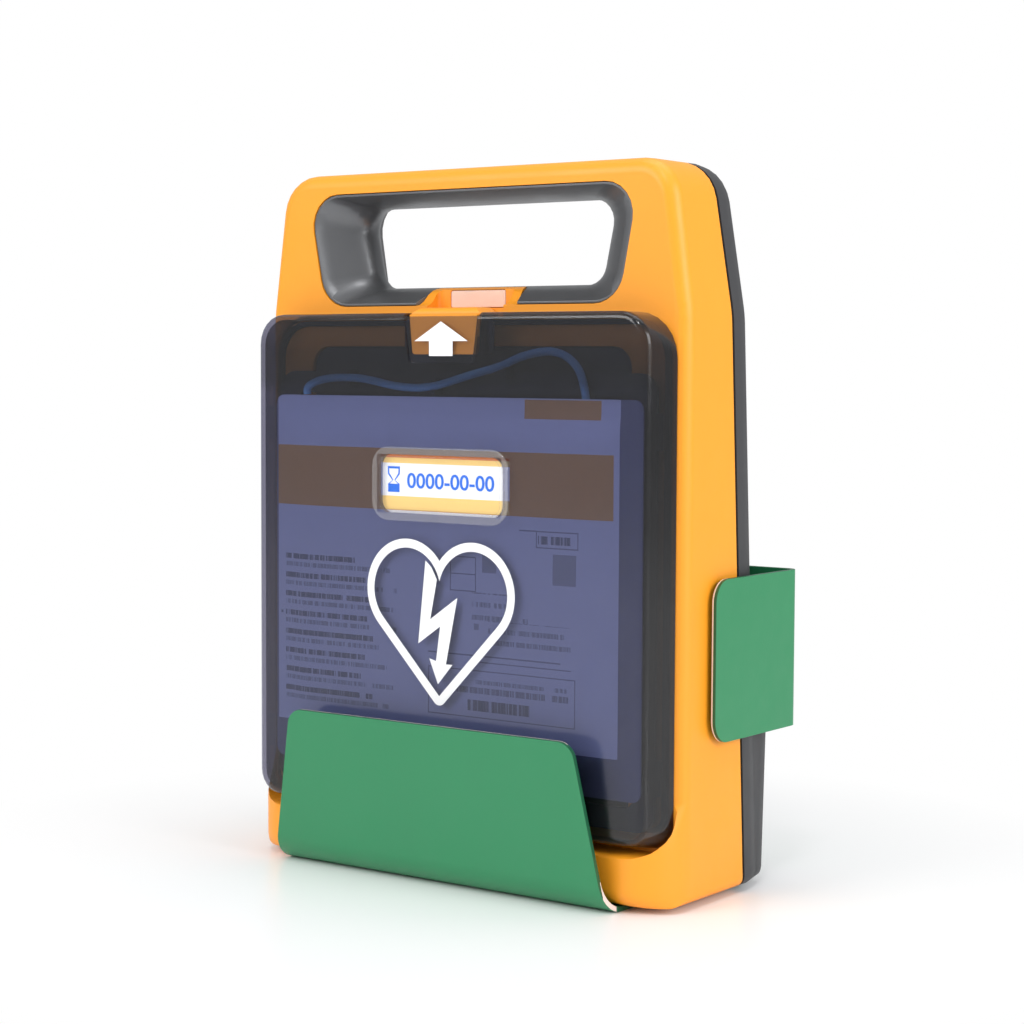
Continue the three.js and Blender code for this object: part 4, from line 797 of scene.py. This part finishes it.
class Workpiece:
    """A mesh that is shaped from a primitive in edit mode."""

    def __init__(
        self,
        name: str,
        primitive: Primitive,
        centre: Sequence[float],
        size: Sequence[float],
        turn: Sequence[float] = (0, 0, 0),
        sides: int = 48,
    ) -> None:
        """Adds a primitive at its size and place.

        Args:
            name: Name of the piece.
            primitive: The starting shape.
            centre: Middle of the shape, in metres.
            size: Its three lengths before it is turned.
            turn: Turn about the three axes, in radians.
            sides: Sides of a cylinder.
        """
        deselect()
        place = {"location": tuple(centre), "rotation": tuple(turn)}
        if primitive is Primitive.PLANE:
            bpy.ops.mesh.primitive_plane_add(size=1, **place)
        elif primitive is Primitive.CUBE:
            bpy.ops.mesh.primitive_cube_add(size=1, **place)
        else:
            bpy.ops.mesh.primitive_cylinder_add(vertices=sides, radius=0.5, depth=1, **place)
        self.piece = bpy.context.object
        self.piece.name = self.piece.data.name = name
        self.piece.scale = tuple(size)
        bpy.ops.object.transform_apply(location=True, rotation=True, scale=True)

    def edit(self) -> bmesh.types.BMesh:
        """Returns the mesh in edit mode."""
        if bpy.context.mode != "EDIT_MESH" or bpy.context.object is not self.piece:
            activate(self.piece)
            bpy.ops.object.mode_set(mode="EDIT")
        return bmesh.from_edit_mesh(self.piece.data)

    def pick(self, element: Element, test: Callable[[Vector], bool]) -> "Workpiece":
        """Selects the elements whose middle passes a test, and nothing else.

        Args:
            element: Kind of element.
            test: Says whether an element with its middle at a point is picked.

        Returns:
            The workpiece.
        """
        self.edit()
        bpy.ops.mesh.select_mode(type=element.value)
        bpy.ops.mesh.select_all(action="DESELECT")
        mesh = bmesh.from_edit_mesh(self.piece.data)
        if element is Element.EDGE:
            found = [edge for edge in mesh.edges if test((edge.verts[0].co + edge.verts[1].co) / 2)]
        else:
            found = [vertex for vertex in mesh.verts if test(vertex.co)]
        for one in found:
            one.select_set(True)
        mesh.select_flush_mode()
        bmesh.update_edit_mesh(self.piece.data)
        return self

    def extrude(self, *move: float) -> "Workpiece":
        """Extrudes the picked edges by a move, in metres."""
        bpy.ops.mesh.extrude_edges_move(TRANSFORM_OT_translate={"value": move})
        return self

    def round_off(self, width: float, segments: int, corners: bool = False) -> "Workpiece":
        """Bevels the picked edges, or the picked corners of a flat piece."""
        affect = "VERTICES" if corners else "EDGES"
        bpy.ops.mesh.bevel(offset=width, segments=segments, affect=affect, profile=0.5)
        return self

    def modify(self, kind: str, **settings: object) -> "Workpiece":
        """Adds a modifier and applies it.

        Args:
            kind: Blender's name of the modifier.
            settings: Properties of the modifier.

        Returns:
            The workpiece.
        """
        activate(self.piece)
        modifier = self.piece.modifiers.new(kind.lower(), kind)
        for key, value in settings.items():
            setattr(modifier, key, value)
        bpy.ops.object.modifier_apply(modifier=modifier.name)
        return self

    def carve(self, *cutters: "Workpiece") -> "Workpiece":
        """Cuts other workpieces out of this one and removes them.

        Args:
            cutters: The workpieces to cut out.

        Returns:
            The workpiece.
        """
        for cutter in cutters:
            deselect()
            self.modify("BOOLEAN", operation="DIFFERENCE", object=cutter.piece, solver="EXACT")
            bpy.data.objects.remove(cutter.piece)
        return self

    def done(self, finish: Finish, body: str, smooth: float = 35) -> bpy.types.Object:
        """Smooths, dresses and rides the piece.

        Args:
            finish: Its finish.
            body: The body that it moves with.
            smooth: Edges flatter than this many degrees are shaded smooth.

        Returns:
            The finished piece.
        """
        activate(self.piece)
        bpy.ops.object.shade_smooth_by_angle(angle=math.radians(smooth))
        return dress(self.piece, finish, body)


def dress(piece: bpy.types.Object, finish: Finish, body: str) -> bpy.types.Object:
    """Gives a new piece its finish, body and slot.

    Args:
        piece: The piece.
        finish: Its finish.
        body: The body that it moves with.

    Returns:
        The piece.
    """
    deselect()
    if not piece.data.materials:
        piece.data.materials.append(finish.material())
    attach(piece, body)
    log.info("made %s on %s", piece.name, body)
    return piece


def refine(node: str, finish: Finish, edge: float = 0.25 * MM) -> None:
    """Finishes a CAD node: its facets are welded and shaded round, and its edges are broken.

    Args:
        node: Name of the node.
        finish: Its finish.
        edge: Width of the broken edges, in metres.
    """
    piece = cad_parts[node]
    piece.data.polygons.foreach_set("use_smooth", [True] * len(piece.data.polygons))
    weld = piece.modifiers.new("weld", "WELD")
    weld.merge_threshold = WELD_DISTANCE
    flat = piece.modifiers.new("flat", "DECIMATE")
    flat.decimate_type = "DISSOLVE"
    flat.angle_limit = FLAT_ANGLE
    broken = piece.modifiers.new("broken_edges", "BEVEL")
    broken.width = edge
    broken.segments = 2
    broken.limit_method = "ANGLE"
    broken.angle_limit = BROKEN_ANGLE
    weighted = piece.modifiers.new("weighted", "WEIGHTED_NORMAL")
    weighted.mode = "FACE_AREA"
    piece.data.materials.clear()
    piece.data.materials.append(finish.material())
    log.info("refined %s", node)


def flat_print(
    name: str, points: Sequence[Point], face: float, closed_holes: Sequence[Sequence[Point]] = ()
) -> bpy.types.Object:
    """Draws a thin printed shape that faces the front.

    Args:
        name: Name of the piece.
        points: Outline in the upright plane, in metres.
        face: Depth of its front face.
        closed_holes: Outlines of its holes.

    Returns:
        The shape as a mesh.
    """
    curve = bpy.data.curves.new(name, "CURVE")
    curve.dimensions = "2D"
    curve.fill_mode = "BOTH"
    curve.extrude = PRINT_THICKNESS / 2
    for line in (points, *closed_holes):
        spline = curve.splines.new("POLY")
        spline.points.add(len(line) - 1)
        for point, (x, z) in zip(spline.points, line):
            point.co = (x, z, 0, 1)
        spline.use_cyclic_u = True
    drawn = bpy.data.objects.new(name, curve)
    bpy.context.scene.collection.objects.link(drawn)
    place = Matrix.Translation((0, face + PRINT_THICKNESS / 2, 0))
    drawn.matrix_world = place @ Matrix.Rotation(math.pi / 2, 4, "X")
    activate(drawn)
    bpy.ops.object.convert(target="MESH")
    bpy.ops.object.transform_apply(location=True, rotation=True, scale=True)
    return bpy.context.object


@dataclass
class Studio:
    """Camera, lamps, floor and world."""

    camera_place: tuple[float, float, float] = (0.55855, -0.76087, 0.21013)
    yaw: float = 0.629913
    pitch: float = -0.0655733
    roll: float = 0.00450505
    focal_length: float = 80.4
    sensor_width: float = 36.0
    floor_radius: float = 4.0
    fade_start: float = 0.09
    fade_end: float = 0.27
    daylight: float = 0.55

    def build(self) -> None:
        """Makes the studio."""
        self.camera()
        self.floor()
        self.world()
        self.lamps()

    def camera(self) -> None:
        """Sets the camera where the photograph was taken from."""
        data = bpy.data.cameras.new("camera")
        data.lens = self.focal_length
        data.sensor_width = self.sensor_width
        data.clip_start, data.clip_end = 0.01, 50
        camera = bpy.data.objects.new("camera", data)
        bpy.context.scene.collection.objects.link(camera)
        turn = Matrix.Rotation(self.yaw, 4, "Z") @ Matrix.Rotation(math.pi / 2 + self.pitch, 4, "X")
        place = Matrix.Translation(self.camera_place)
        camera.matrix_world = place @ turn @ Matrix.Rotation(self.roll, 4, "Z")
        bpy.context.scene.camera = camera

    def floor(self) -> None:
        """Lays a pale floor that fades into the white background away from the object."""
        deselect()
        bpy.ops.mesh.primitive_circle_add(vertices=64, radius=self.floor_radius, fill_type="NGON")
        floor = bpy.context.object
        floor.name = "floor"
        shader = Shader("floor_paper")
        shader.set(Base_Color=(0.95, 0.95, 0.95), Roughness=0.3, Specular_IOR_Level=0.35)
        away = shader.node("ShaderNodeVectorMath", {0: shader.coordinates}, operation="LENGTH")
        reach = away.outputs["Value"]
        fade = shader.spread(reach, self.fade_start, self.fade_end)
        seen = shader.node("ShaderNodeLightPath", {}).outputs["Is Camera Ray"]
        white = shader.node("ShaderNodeEmission", {0: (1.0, 1.0, 1.0), 1: 1.0})
        share = shader.math("MULTIPLY", fade, seen)
        paper = shader.surface.outputs[0]
        both = shader.node("ShaderNodeMixShader", {0: share, 1: paper, 2: white.outputs[0]})
        shader.join(both.outputs[0], shader.output.inputs["Surface"])
        floor.data.materials.append(shader.material)

    def world(self) -> None:
        """Lights everything evenly, and shows white behind the object."""
        world = bpy.data.worlds.new("studio")
        bpy.context.scene.world = world
        world.use_nodes = True
        tree = world.node_tree
        tree.nodes.clear()
        output = tree.nodes.new("ShaderNodeOutputWorld")
        even = tree.nodes.new("ShaderNodeBackground")
        even.inputs["Color"].default_value = (0.96, 0.975, 1.0, 1)
        even.inputs["Strength"].default_value = self.daylight
        shown = tree.nodes.new("ShaderNodeBackground")
        shown.inputs["Color"].default_value = (1, 1, 1, 1)
        path = tree.nodes.new("ShaderNodeLightPath")
        mix = tree.nodes.new("ShaderNodeMixShader")
        tree.links.new(path.outputs["Is Camera Ray"], mix.inputs[0])
        tree.links.new(even.outputs[0], mix.inputs[1])
        tree.links.new(shown.outputs[0], mix.inputs[2])
        tree.links.new(mix.outputs[0], output.inputs["Surface"])

    def lamp(
        self, name: str, place: Sequence[float], target: Sequence[float], size: float, power: float
    ) -> None:
        """Adds a square soft box aimed at a point.

        Args:
            name: Name of the lamp.
            place: Where it stands, in metres.
            target: What it is aimed at.
            size: Its side.
            power: Its power in watts.
        """
        data = bpy.data.lights.new(name, "AREA")
        data.shape = "SQUARE"
        data.size = size
        data.energy = power
        lamp = bpy.data.objects.new(name, data)
        bpy.context.scene.collection.objects.link(lamp)
        aim = (Vector(target) - Vector(place)).to_track_quat("-Z", "Y")
        lamp.matrix_world = Matrix.Translation(place) @ aim.to_matrix().to_4x4()

    def lamps(self) -> None:
        """Adds a key at the front left, a fill on the right, a top light and a small one for edges."""
        middle = (0, 0, 0.14)
        self.lamp("key", (-0.7, -1.5, 1.1), middle, 1.0, 16)
        self.lamp("side", (1.6, -0.1, 0.7), middle, 0.9, 14)
        self.lamp("top", (0.1, 0.2, 1.7), middle, 1.2, 9)
        self.lamp("edge", (0.5, -0.9, 1.5), middle, 0.22, 4)


@dataclass
class WallBracket:
    """The folded sheet that the unit stands in."""

    thickness: float = 2 * MM
    lip_lean: float = 0.081
    lip_height: float = 66 * MM
    lip_top_half_width: float = 71 * MM
    half_width: float = 83.5 * MM
    lip_corner: float = 10 * MM
    lip_bend: float = 12 * MM
    plate_bend: float = 7 * MM
    wing_bend: float = 5 * MM
    wing_foot: float = 63.5 * MM
    wing_corner: float = 9 * MM
    wing_front: float = -11.077 * MM
    keyholes: tuple[float, float] = (60 * MM, 100 * MM)
    keyhole_head: float = 5 * MM
    keyhole_shank: float = 2.6 * MM
    keyhole_rise: float = 9 * MM
    lower_holes: float = 34 * MM
    cutter_depth: float = 8 * MM
    cutter_sides: int = 40
    near: float = 0.01 * MM

    def build(self) -> None:
        """Folds the sheet and dresses it."""
        box = Extent.of("wall_bracket")
        side, rear, top = box.high.x, box.high.y, box.high.z
        front_top = box.low.y
        foot = front_top + self.lip_lean * self.lip_height
        centre, size = (0, (foot + rear) / 2, 0), (self.half_width * 2, rear - foot, 1)
        sheet = Workpiece("bracket_sheet", Primitive.PLANE, centre, size)
        near = self.near
        sheet.pick(Element.EDGE, lambda p: abs(p.y - foot) < near)
        sheet.extrude(0, front_top - foot, self.lip_height)
        sheet.pick(Element.VERTEX, lambda p: p.z > self.lip_height - near)
        narrower = self.lip_top_half_width / self.half_width
        bpy.ops.transform.resize(value=(narrower, 1, 1), center_override=(0, 0, 0))
        sheet.pick(Element.EDGE, lambda p: abs(p.y - rear) < near)
        sheet.extrude(0, 0, self.wing_foot).extrude(0, 0, top - self.wing_foot)
        for hand in (-1, 1):
            wing = (self.wing_foot + top) / 2
            sheet.pick(Element.EDGE, lambda p: hand * p.x > self.half_width - near and abs(p.z - wing) < near)
            sheet.extrude(hand * (side - self.half_width), 0, 0).extrude(0, self.wing_front - rear, 0)
        sheet.pick(Element.VERTEX, lambda p: abs(p.z - self.lip_height) < near and p.y < 0)
        sheet.round_off(self.lip_corner * 0.6, 10, corners=True)
        sheet.pick(Element.VERTEX, lambda p: abs(p.y - self.wing_front) < near)
        sheet.round_off(self.wing_corner, 10, corners=True)
        sheet.pick(Element.EDGE, lambda p: abs(p.y - foot) < near and abs(p.z) < near)
        sheet.round_off(self.lip_bend * math.tan((math.pi / 2 + self.lip_lean) / 2) * 0.92, 12)
        sheet.pick(Element.EDGE, lambda p: abs(p.y - rear) < near and abs(p.z) < near)
        sheet.round_off(self.plate_bend, 8)
        sheet.pick(Element.EDGE, lambda p: abs(p.y - rear) < near and abs(abs(p.x) - side) < near)
        sheet.round_off(self.wing_bend, 8)
        bpy.ops.mesh.select_all(action="SELECT")
        bpy.ops.mesh.normals_make_consistent(inside=False)
        deselect()
        sheet.piece.data.materials.append(GREEN_COAT.material())
        # the rim takes the painted shade with its painted highlight line
        sheet.piece.data.materials.append(RIM_SHADE_COAT.material())
        inward = -1 if self.faces_out(sheet.piece) else 1
        wall = {"thickness": self.thickness, "offset": inward, "use_even_offset": True}
        sheet.modify("SOLIDIFY", material_offset_rim=1, **wall)
        sheet.carve(*self.holes(rear))
        sheet.modify("BEVEL", width=0.22 * MM, segments=2, limit_method="ANGLE", angle_limit=math.radians(50))
        piece = sheet.done(GREEN_COAT, "bracket")
        sheet.modify("WEIGHTED_NORMAL", mode="FACE_AREA", keep_sharp=True)
        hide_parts("wall_bracket")

    def faces_out(self, piece: bpy.types.Object) -> bool:
        """Returns whether the sheet's bottom faces downwards."""
        bottom = min(piece.data.polygons, key=lambda face: face.center.z)
        return bottom.normal.z < 0

    def holes(self, rear: float) -> list[Workpiece]:
        """Returns cutters for the keyholes and the plain holes in the back plate.

        Args:
            rear: Depth of the back plate's rear face.

        Returns:
            The cutters.
        """
        cutters = []
        turn = (math.pi / 2, 0, 0)
        for x in (-self.keyholes[0], self.keyholes[0]):
            for z, radius in (
                (self.keyholes[1], self.keyhole_head),
                (self.keyholes[1] + self.keyhole_rise, self.keyhole_shank),
                (self.lower_holes, self.keyhole_shank),
            ):
                size = (radius * 2, radius * 2, self.cutter_depth)
                place = (x, rear, z)
                hole = Workpiece("hole_cutter", Primitive.CYLINDER, place, size, turn, self.cutter_sides)
                cutters.append(hole)
            slot = (self.keyhole_shank * 2, self.cutter_depth, self.keyhole_rise)
            centre = (x, rear, self.keyholes[1] + self.keyhole_rise / 2)
            cutters.append(Workpiece("slot_cutter", Primitive.CUBE, centre, slot))
        return cutters


@dataclass
class Housing:
    """The unit's two mouldings with what is fixed on them."""

    def build(self) -> None:
        """Dresses the housing's nodes."""
        refine("front_housing", ORANGE_PLASTIC, 0.3 * MM)
        refine("rear_housing", DARK_PLASTIC, 0.3 * MM)
        refine("handle_grip", GRIP_PLASTIC, 0.2 * MM)
        refine("status_window", WINDOW, 0.15 * MM)
        for name in ("seam_gasket", "lid_gasket"):
            refine(name, GASKET, 0.1 * MM)
        refine("battery_pack", DARK_PLASTIC, 0.4 * MM)
        refine("battery_latch", GRIP_PLASTIC, 0.2 * MM)
        for name in ("hinge_pin_left", "hinge_pin_right", *(f"case_screw_{i}" for i in range(1, 7))):
            refine(name, STEEL, 0.15 * MM)


@dataclass
class ControlPanel:
    """The panel behind the lid and what is behind it."""

    def build(self) -> None:
        """Dresses the panel's nodes."""
        refine("front_panel", PANEL_PLASTIC, 0.3 * MM)
        refine("pads_socket", DARK_PLASTIC, 0.2 * MM)
        refine("main_board", BOARD, 0.1 * MM)
        refine("speaker", GASKET, 0.2 * MM)
        refine("storage_capacitor", CAN, 0.6 * MM)
        for name in ("shock_button", "info_button"):
            refine(name, BUTTON_PLASTIC, 0.2 * MM)
        refine("child_switch", GRIP_PLASTIC, 0.2 * MM)


@dataclass
class Lid:
    """The smoked lid with its latch, its date window and the signs printed on it."""

    lobe_radius: float = 20.7 * MM
    lobe_x: float = 16.5 * MM
    lobe_z: float = 118.2 * MM
    heart_foot: float = 71.2 * MM
    heart_point: float = 3.4 * MM
    line: float = 3.6 * MM
    arrow_half_width: float = 13.4 * MM
    arrow_stem: float = 5.9 * MM
    arrow_foot: float = 212.3 * MM
    arrow_neck: float = 218.2 * MM
    arrow_top: float = 226.0 * MM
    dish_depth: float = 0.5 * MM

    def build(self) -> None:
        """Dresses the lid's nodes and prints its signs."""
        refine("lid_shell", SMOKED, 0.35 * MM)
        refine("date_window", CLEAR, 0.25 * MM)
        refine("lid_latch", ORANGE_PLASTIC, 0.3 * MM)
        refine("latch_cover", DARK_PLASTIC, 0.1 * MM)
        face = Extent.of("lid_shell").low.y
        self.heart(face)
        self.bolt(face)
        self.arrow(face + self.dish_depth)

    def heart_outline(self, inset: float) -> list[Point]:
        """Returns a heart: two round lobes and straight flanks down to a rounded point.

        Args:
            inset: How far the outline is drawn in.

        Returns:
            Its points, from the notch round the right side.
        """
        drop = self.lobe_z - self.heart_foot
        lean = math.atan2(self.lobe_x, drop) + math.asin(self.lobe_radius / math.hypot(self.lobe_x, drop))
        radius = self.lobe_radius - inset
        point = max(self.heart_point - inset, 0.3 * MM)
        centre = self.heart_foot + (inset + point) / math.sin(lean)
        notch = math.pi - math.acos(min(1.0, self.lobe_x / radius))
        lobe = [notch + (-lean - notch) * i / 32 for i in range(33)]
        foot = [-lean + (lean - math.pi / 2) * i / 6 for i in range(7)]
        right = [(self.lobe_x + radius * math.cos(a), self.lobe_z + radius * math.sin(a)) for a in lobe]
        right += [(point * math.cos(a), centre + point * math.sin(a)) for a in foot]
        return right + [(-x, z) for x, z in reversed(right[1:-1])]

    def heart(self, face: float) -> None:
        """Prints the heart's outline."""
        inner = self.heart_outline(self.line)
        sign = flat_print("heart_print", self.heart_outline(0), face - PRINT_THICKNESS, [inner])
        dress(sign, WHITE_INK, "lid")

    def bolt(self, face: float) -> None:
        """Prints the bolt that points down inside the heart."""
        points = [
            (-7.1, 130.6), (-4.1, 128.0), (-1.3, 123.2), (-4.6, 107.1), (9.0, 116.5), (3.4, 89.5),
            (6.7, 89.6), (-0.6, 81.2), (-5.0, 91.3), (-1.6, 90.5), (0.4, 104.5), (-10.7, 96.9),
        ]
        outline = [(x * MM, z * MM) for x, z in points]
        dress(flat_print("bolt_print", outline, face - PRINT_THICKNESS), WHITE_INK, "lid")

    def arrow(self, face: float) -> None:
        """Prints the arrow that shows which way the latch is pushed."""
        stem, wing = self.arrow_stem, self.arrow_half_width
        neck = self.arrow_neck
        right = [(stem, self.arrow_foot), (stem, neck), (wing, neck), (0, self.arrow_top)]
        outline = right + [(-x, z) for x, z in reversed(right[:-1])]
        dress(flat_print("arrow_print", outline, face - PRINT_THICKNESS), WHITE_INK, "lid")


@dataclass
class PadsLead:
    """The cord from the pouch to its plug, along the route that the CAD settles."""

    diameter: float = 3.2 * MM
    depth_shift: float = -27.577
    steps: int = 6
    route: tuple[tuple[float, float, float], ...] = (
        (-74, -10.9, 196.3), (-74, -10.9, 198.6), (-72, -10.6, 200.6), (-66, -9.8, 202.6), (-55, -9, 203.4),
        (-44, -9, 202.8), (-26, -9, 199.9), (-10.5, -9, 200), (9.6, -8.8, 204.8), (24.4, -8.2, 208.6),
        (34.1, -7.8, 212.2), (46, -7.4, 214.2), (54, -7, 212.6), (59.7, -6.6, 208), (62.5, -6.7, 202),
        (64, -6.7, 194), (65, -6.7, 170), (64, -6.7, 130), (63, -6.7, 90), (61, -6.7, 60), (56, -6.7, 47),
        (51, -6.8, 39.5), (44, -7.7, 36.4), (35.3, -8, 36),
    )

    def line(self) -> list[Vector]:
        """Returns the points of a smooth line through the route, in metres."""
        knots = [Vector((x, y + self.depth_shift, z)) * MM for x, y, z in self.route]
        points = [knots[0]]
        for i in range(len(knots) - 1):
            before = knots[max(i - 1, 0)]
            after = knots[min(i + 2, len(knots) - 1)]
            start, end = knots[i], knots[i + 1]
            reach = (end - start).length
            leave = (end - before).normalized() * reach
            arrive = (after - start).normalized() * reach
            for step in range(1, self.steps + 1):
                t = step / self.steps
                near = start * (2 * t**3 - 3 * t**2 + 1) + end * (3 * t**2 - 2 * t**3)
                points.append(near + leave * (t**3 - 2 * t**2 + t) + arrive * (t**3 - t**2))
        return points

    def build(self) -> None:
        points = self.line()
        curve = bpy.data.curves.new("pads_cord", "CURVE")
        curve.dimensions = "3D"
        curve.bevel_depth = self.diameter / 2
        curve.bevel_resolution = 4
        curve.use_fill_caps = True
        spline = curve.splines.new("POLY")
        spline.points.add(len(points) - 1)
        for knot, point in zip(spline.points, points):
            knot.co = (*point, 1)
        spline.use_smooth = True
        cord = bpy.data.objects.new("pads_cord", curve)
        bpy.context.scene.collection.objects.link(cord)
        dress(cord, JACKET, "lid")
        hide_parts("pads_lead")


@dataclass
class PadsPouch:
    """The sealed film pouch: flat welded edges, a filled middle and faint creases."""

    cells: int = 60
    seal: float = 5 * MM
    slope: float = 13 * MM
    seal_share: float = 0.12
    crease: float = 0.35 * MM
    corner: float = 4 * MM
    date_half_width: float = 32.4 * MM
    band_foot: float = 150.3 * MM
    band_top: float = 172.5 * MM
    date_foot: float = 155.75 * MM
    date_top: float = 169.1 * MM
    digits_left: float = -18.7 * MM
    digits_right: float = 25.0 * MM
    digits_foot: float = 159.1 * MM
    digits_top: float = 165.3 * MM
    digits_weight: float = 0.12 * MM
    line_height: float = 1.2 * MM
    film: LabelledFilm = LabelledFilm("pouch_film")

    def build(self) -> None:
        """Makes the pouch and the print that shows under the clear window."""
        box = Extent.of("pads_pouch")
        pouch = Workpiece("film_pouch", Primitive.CUBE, box.centre, box.size)
        side = box.size.x / 2 - MM
        middle = box.centre
        half = box.size.z / 2
        pouch.pick(
            Element.EDGE, lambda p: abs(p.x - middle.x) > side and abs(abs(p.z - middle.z) - half) < MM
        )
        pouch.round_off(self.corner, 4)
        bpy.ops.mesh.select_all(action="SELECT")
        mesh = pouch.edit()
        self.slice(mesh, 0, middle, box.size.x)
        self.slice(mesh, 2, middle, box.size.z)
        for vertex in mesh.verts:
            vertex.co.y = middle.y + (vertex.co.y - middle.y) * self.fullness(vertex.co, middle, box.size)
        bmesh.update_edit_mesh(pouch.piece.data)
        piece = pouch.done(self.film, "lid", 60)
        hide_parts("pads_pouch")
        self.date_print(box.low.y)

    def slice(self, mesh: bmesh.types.BMesh, axis: int, middle: Vector, length: float) -> None:
        """Cuts the block into even strips across an axis.

        Args:
            mesh: The pouch's mesh, in edit mode.
            axis: 0 for sideways, 2 for upwards.
            middle: The pouch's middle.
            length: Its length along the axis.
        """
        normal = Vector((0, 0, 0))
        normal[axis] = 1
        for step in range(1, self.cells):
            place = middle.copy()
            place[axis] += length * (step / self.cells - 0.5)
            whole = [*mesh.verts, *mesh.edges, *mesh.faces]
            bmesh.ops.bisect_plane(mesh, geom=whole, plane_co=place, plane_no=normal)

    def fullness(self, point: Vector, middle: Vector, size: Vector) -> float:
        """Returns the share of the pouch's thickness at a point: least in the weld, creased beyond it.

        Args:
            point: Where it is asked.
            middle: The pouch's middle.
            size: The pouch's size.

        Returns:
            A share from 0 to 1.
        """
        inside = min(size.x / 2 - abs(point.x - middle.x), size.z / 2 - abs(point.z - middle.z))
        along = min(1.0, max(0.0, (inside - self.seal) / self.slope))
        swell = along * along * (3 - 2 * along)
        spot = Vector((point.x, 0.0, point.z))
        dent = 0.5 + 0.5 * noise.noise(spot / (16 * MM)) + 0.35 * noise.noise(spot / (6 * MM))
        creased = 1 - min(1.0, max(0.0, dent)) * self.crease / (size.y / 2)
        return self.seal_share + (1 - self.seal_share) * swell * creased

    def date_print(self, face: float) -> None:
        """Prints the white strip between its warm bands, an hourglass and a blank date.

        Args:
            face: Depth of the pouch's front.
        """
        near = face - PRINT_THICKNESS
        across = (-self.date_half_width, self.date_half_width)
        line_foot = self.band_top - self.line_height
        for name, up, ink in (
            ("date_strip", (self.date_foot, self.date_top), PAPER_INK),
            ("date_band_lower", (self.band_foot, self.date_foot), BAND_INK),
            ("date_band_upper", (self.date_top, line_foot), BAND_INK),
            ("date_line", (line_foot, self.band_top), WARM_INK),
        ):
            self.bar(name, across, up, near, ink)
        self.hourglass(near - PRINT_THICKNESS)
        bpy.ops.object.text_add(location=(0, 0, 0))
        text = bpy.context.object
        text.name = "date_print"
        text.data.body = "0000-00-00"
        text.data.size = 9 * MM
        text.data.extrude = PRINT_THICKNESS / 2
        text.data.offset = self.digits_weight
        activate(text)
        bpy.ops.object.convert(target="MESH")
        digits = bpy.context.object
        low = [min(v.co[i] for v in digits.data.vertices) for i in range(2)]
        high = [max(v.co[i] for v in digits.data.vertices) for i in range(2)]
        wider = (self.digits_right - self.digits_left) / (high[0] - low[0])
        taller = (self.digits_top - self.digits_foot) / (high[1] - low[1])
        place = Matrix.Translation((self.digits_left, near - PRINT_THICKNESS, self.digits_foot))
        fitted = Matrix.Diagonal((wider, taller, 1, 1)) @ Matrix.Translation((-low[0], -low[1], 0))
        digits.matrix_world = place @ Matrix.Rotation(math.pi / 2, 4, "X") @ fitted
        bpy.ops.object.transform_apply(location=True, rotation=True, scale=True)
        dress(digits, BLUE_INK, "lid")

    def bar(self, name: str, across: Point, up: Point, face: float, ink: Ink) -> None:
        """Prints a plain bar.

        Args:
            name: Name of the piece.
            across: Its left and right ends.
            up: Its foot and top.
            face: Depth of its front face.
            ink: Its ink.
        """
        (left, right), (foot, top) = across, up
        points = [(left, foot), (right, foot), (right, top), (left, top)]
        dress(flat_print(name, points, face), ink, "lid")

    def hourglass(self, face: float) -> None:
        """Prints the hourglass, its foot filled."""
        outer = [
            (-28.8, 167.7), (-28.7, 164.6), (-26.3, 162.0), (-28.6, 160.6), (-28.6, 157.3),
            (-22.7, 157.3), (-22.7, 160.6), (-24.9, 162.0), (-22.6, 164.6), (-22.5, 167.7),
        ]
        inner = [
            (-28.1, 166.8), (-23.2, 166.8), (-23.3, 164.9), (-25.3, 162.2),
            (-23.5, 160.6), (-27.9, 160.6), (-25.9, 162.2), (-28.0, 164.9),
        ]
        lines = [[(x * MM, z * MM) for x, z in line] for line in (outer, inner)]
        dress(flat_print("hourglass_print", lines[0], face, [lines[1]]), BLUE_INK, "lid")


@dataclass
class PadsStowage:
    """What holds the pads in the lid."""

    def build(self) -> None:
        """Dresses the retainer and the plug."""
        refine("pads_retainer", DARK_PLASTIC, 0.2 * MM)
        refine("pads_plug", PLUG_PLASTIC, 0.2 * MM)


def main() -> None:
    """Builds the studio, then each sub-assembly in order."""
    logging.basicConfig(level=logging.INFO, format="%(name)s: %(message)s")
    bpy.context.scene.view_settings.view_transform = "Standard"
    Studio().build()
    PadsLead().build()
    WallBracket().build()
    Housing().build()
    ControlPanel().build()
    Lid().build()
    PadsPouch().build()
    PadsStowage().build()


if __name__ == "__main__":
    main()
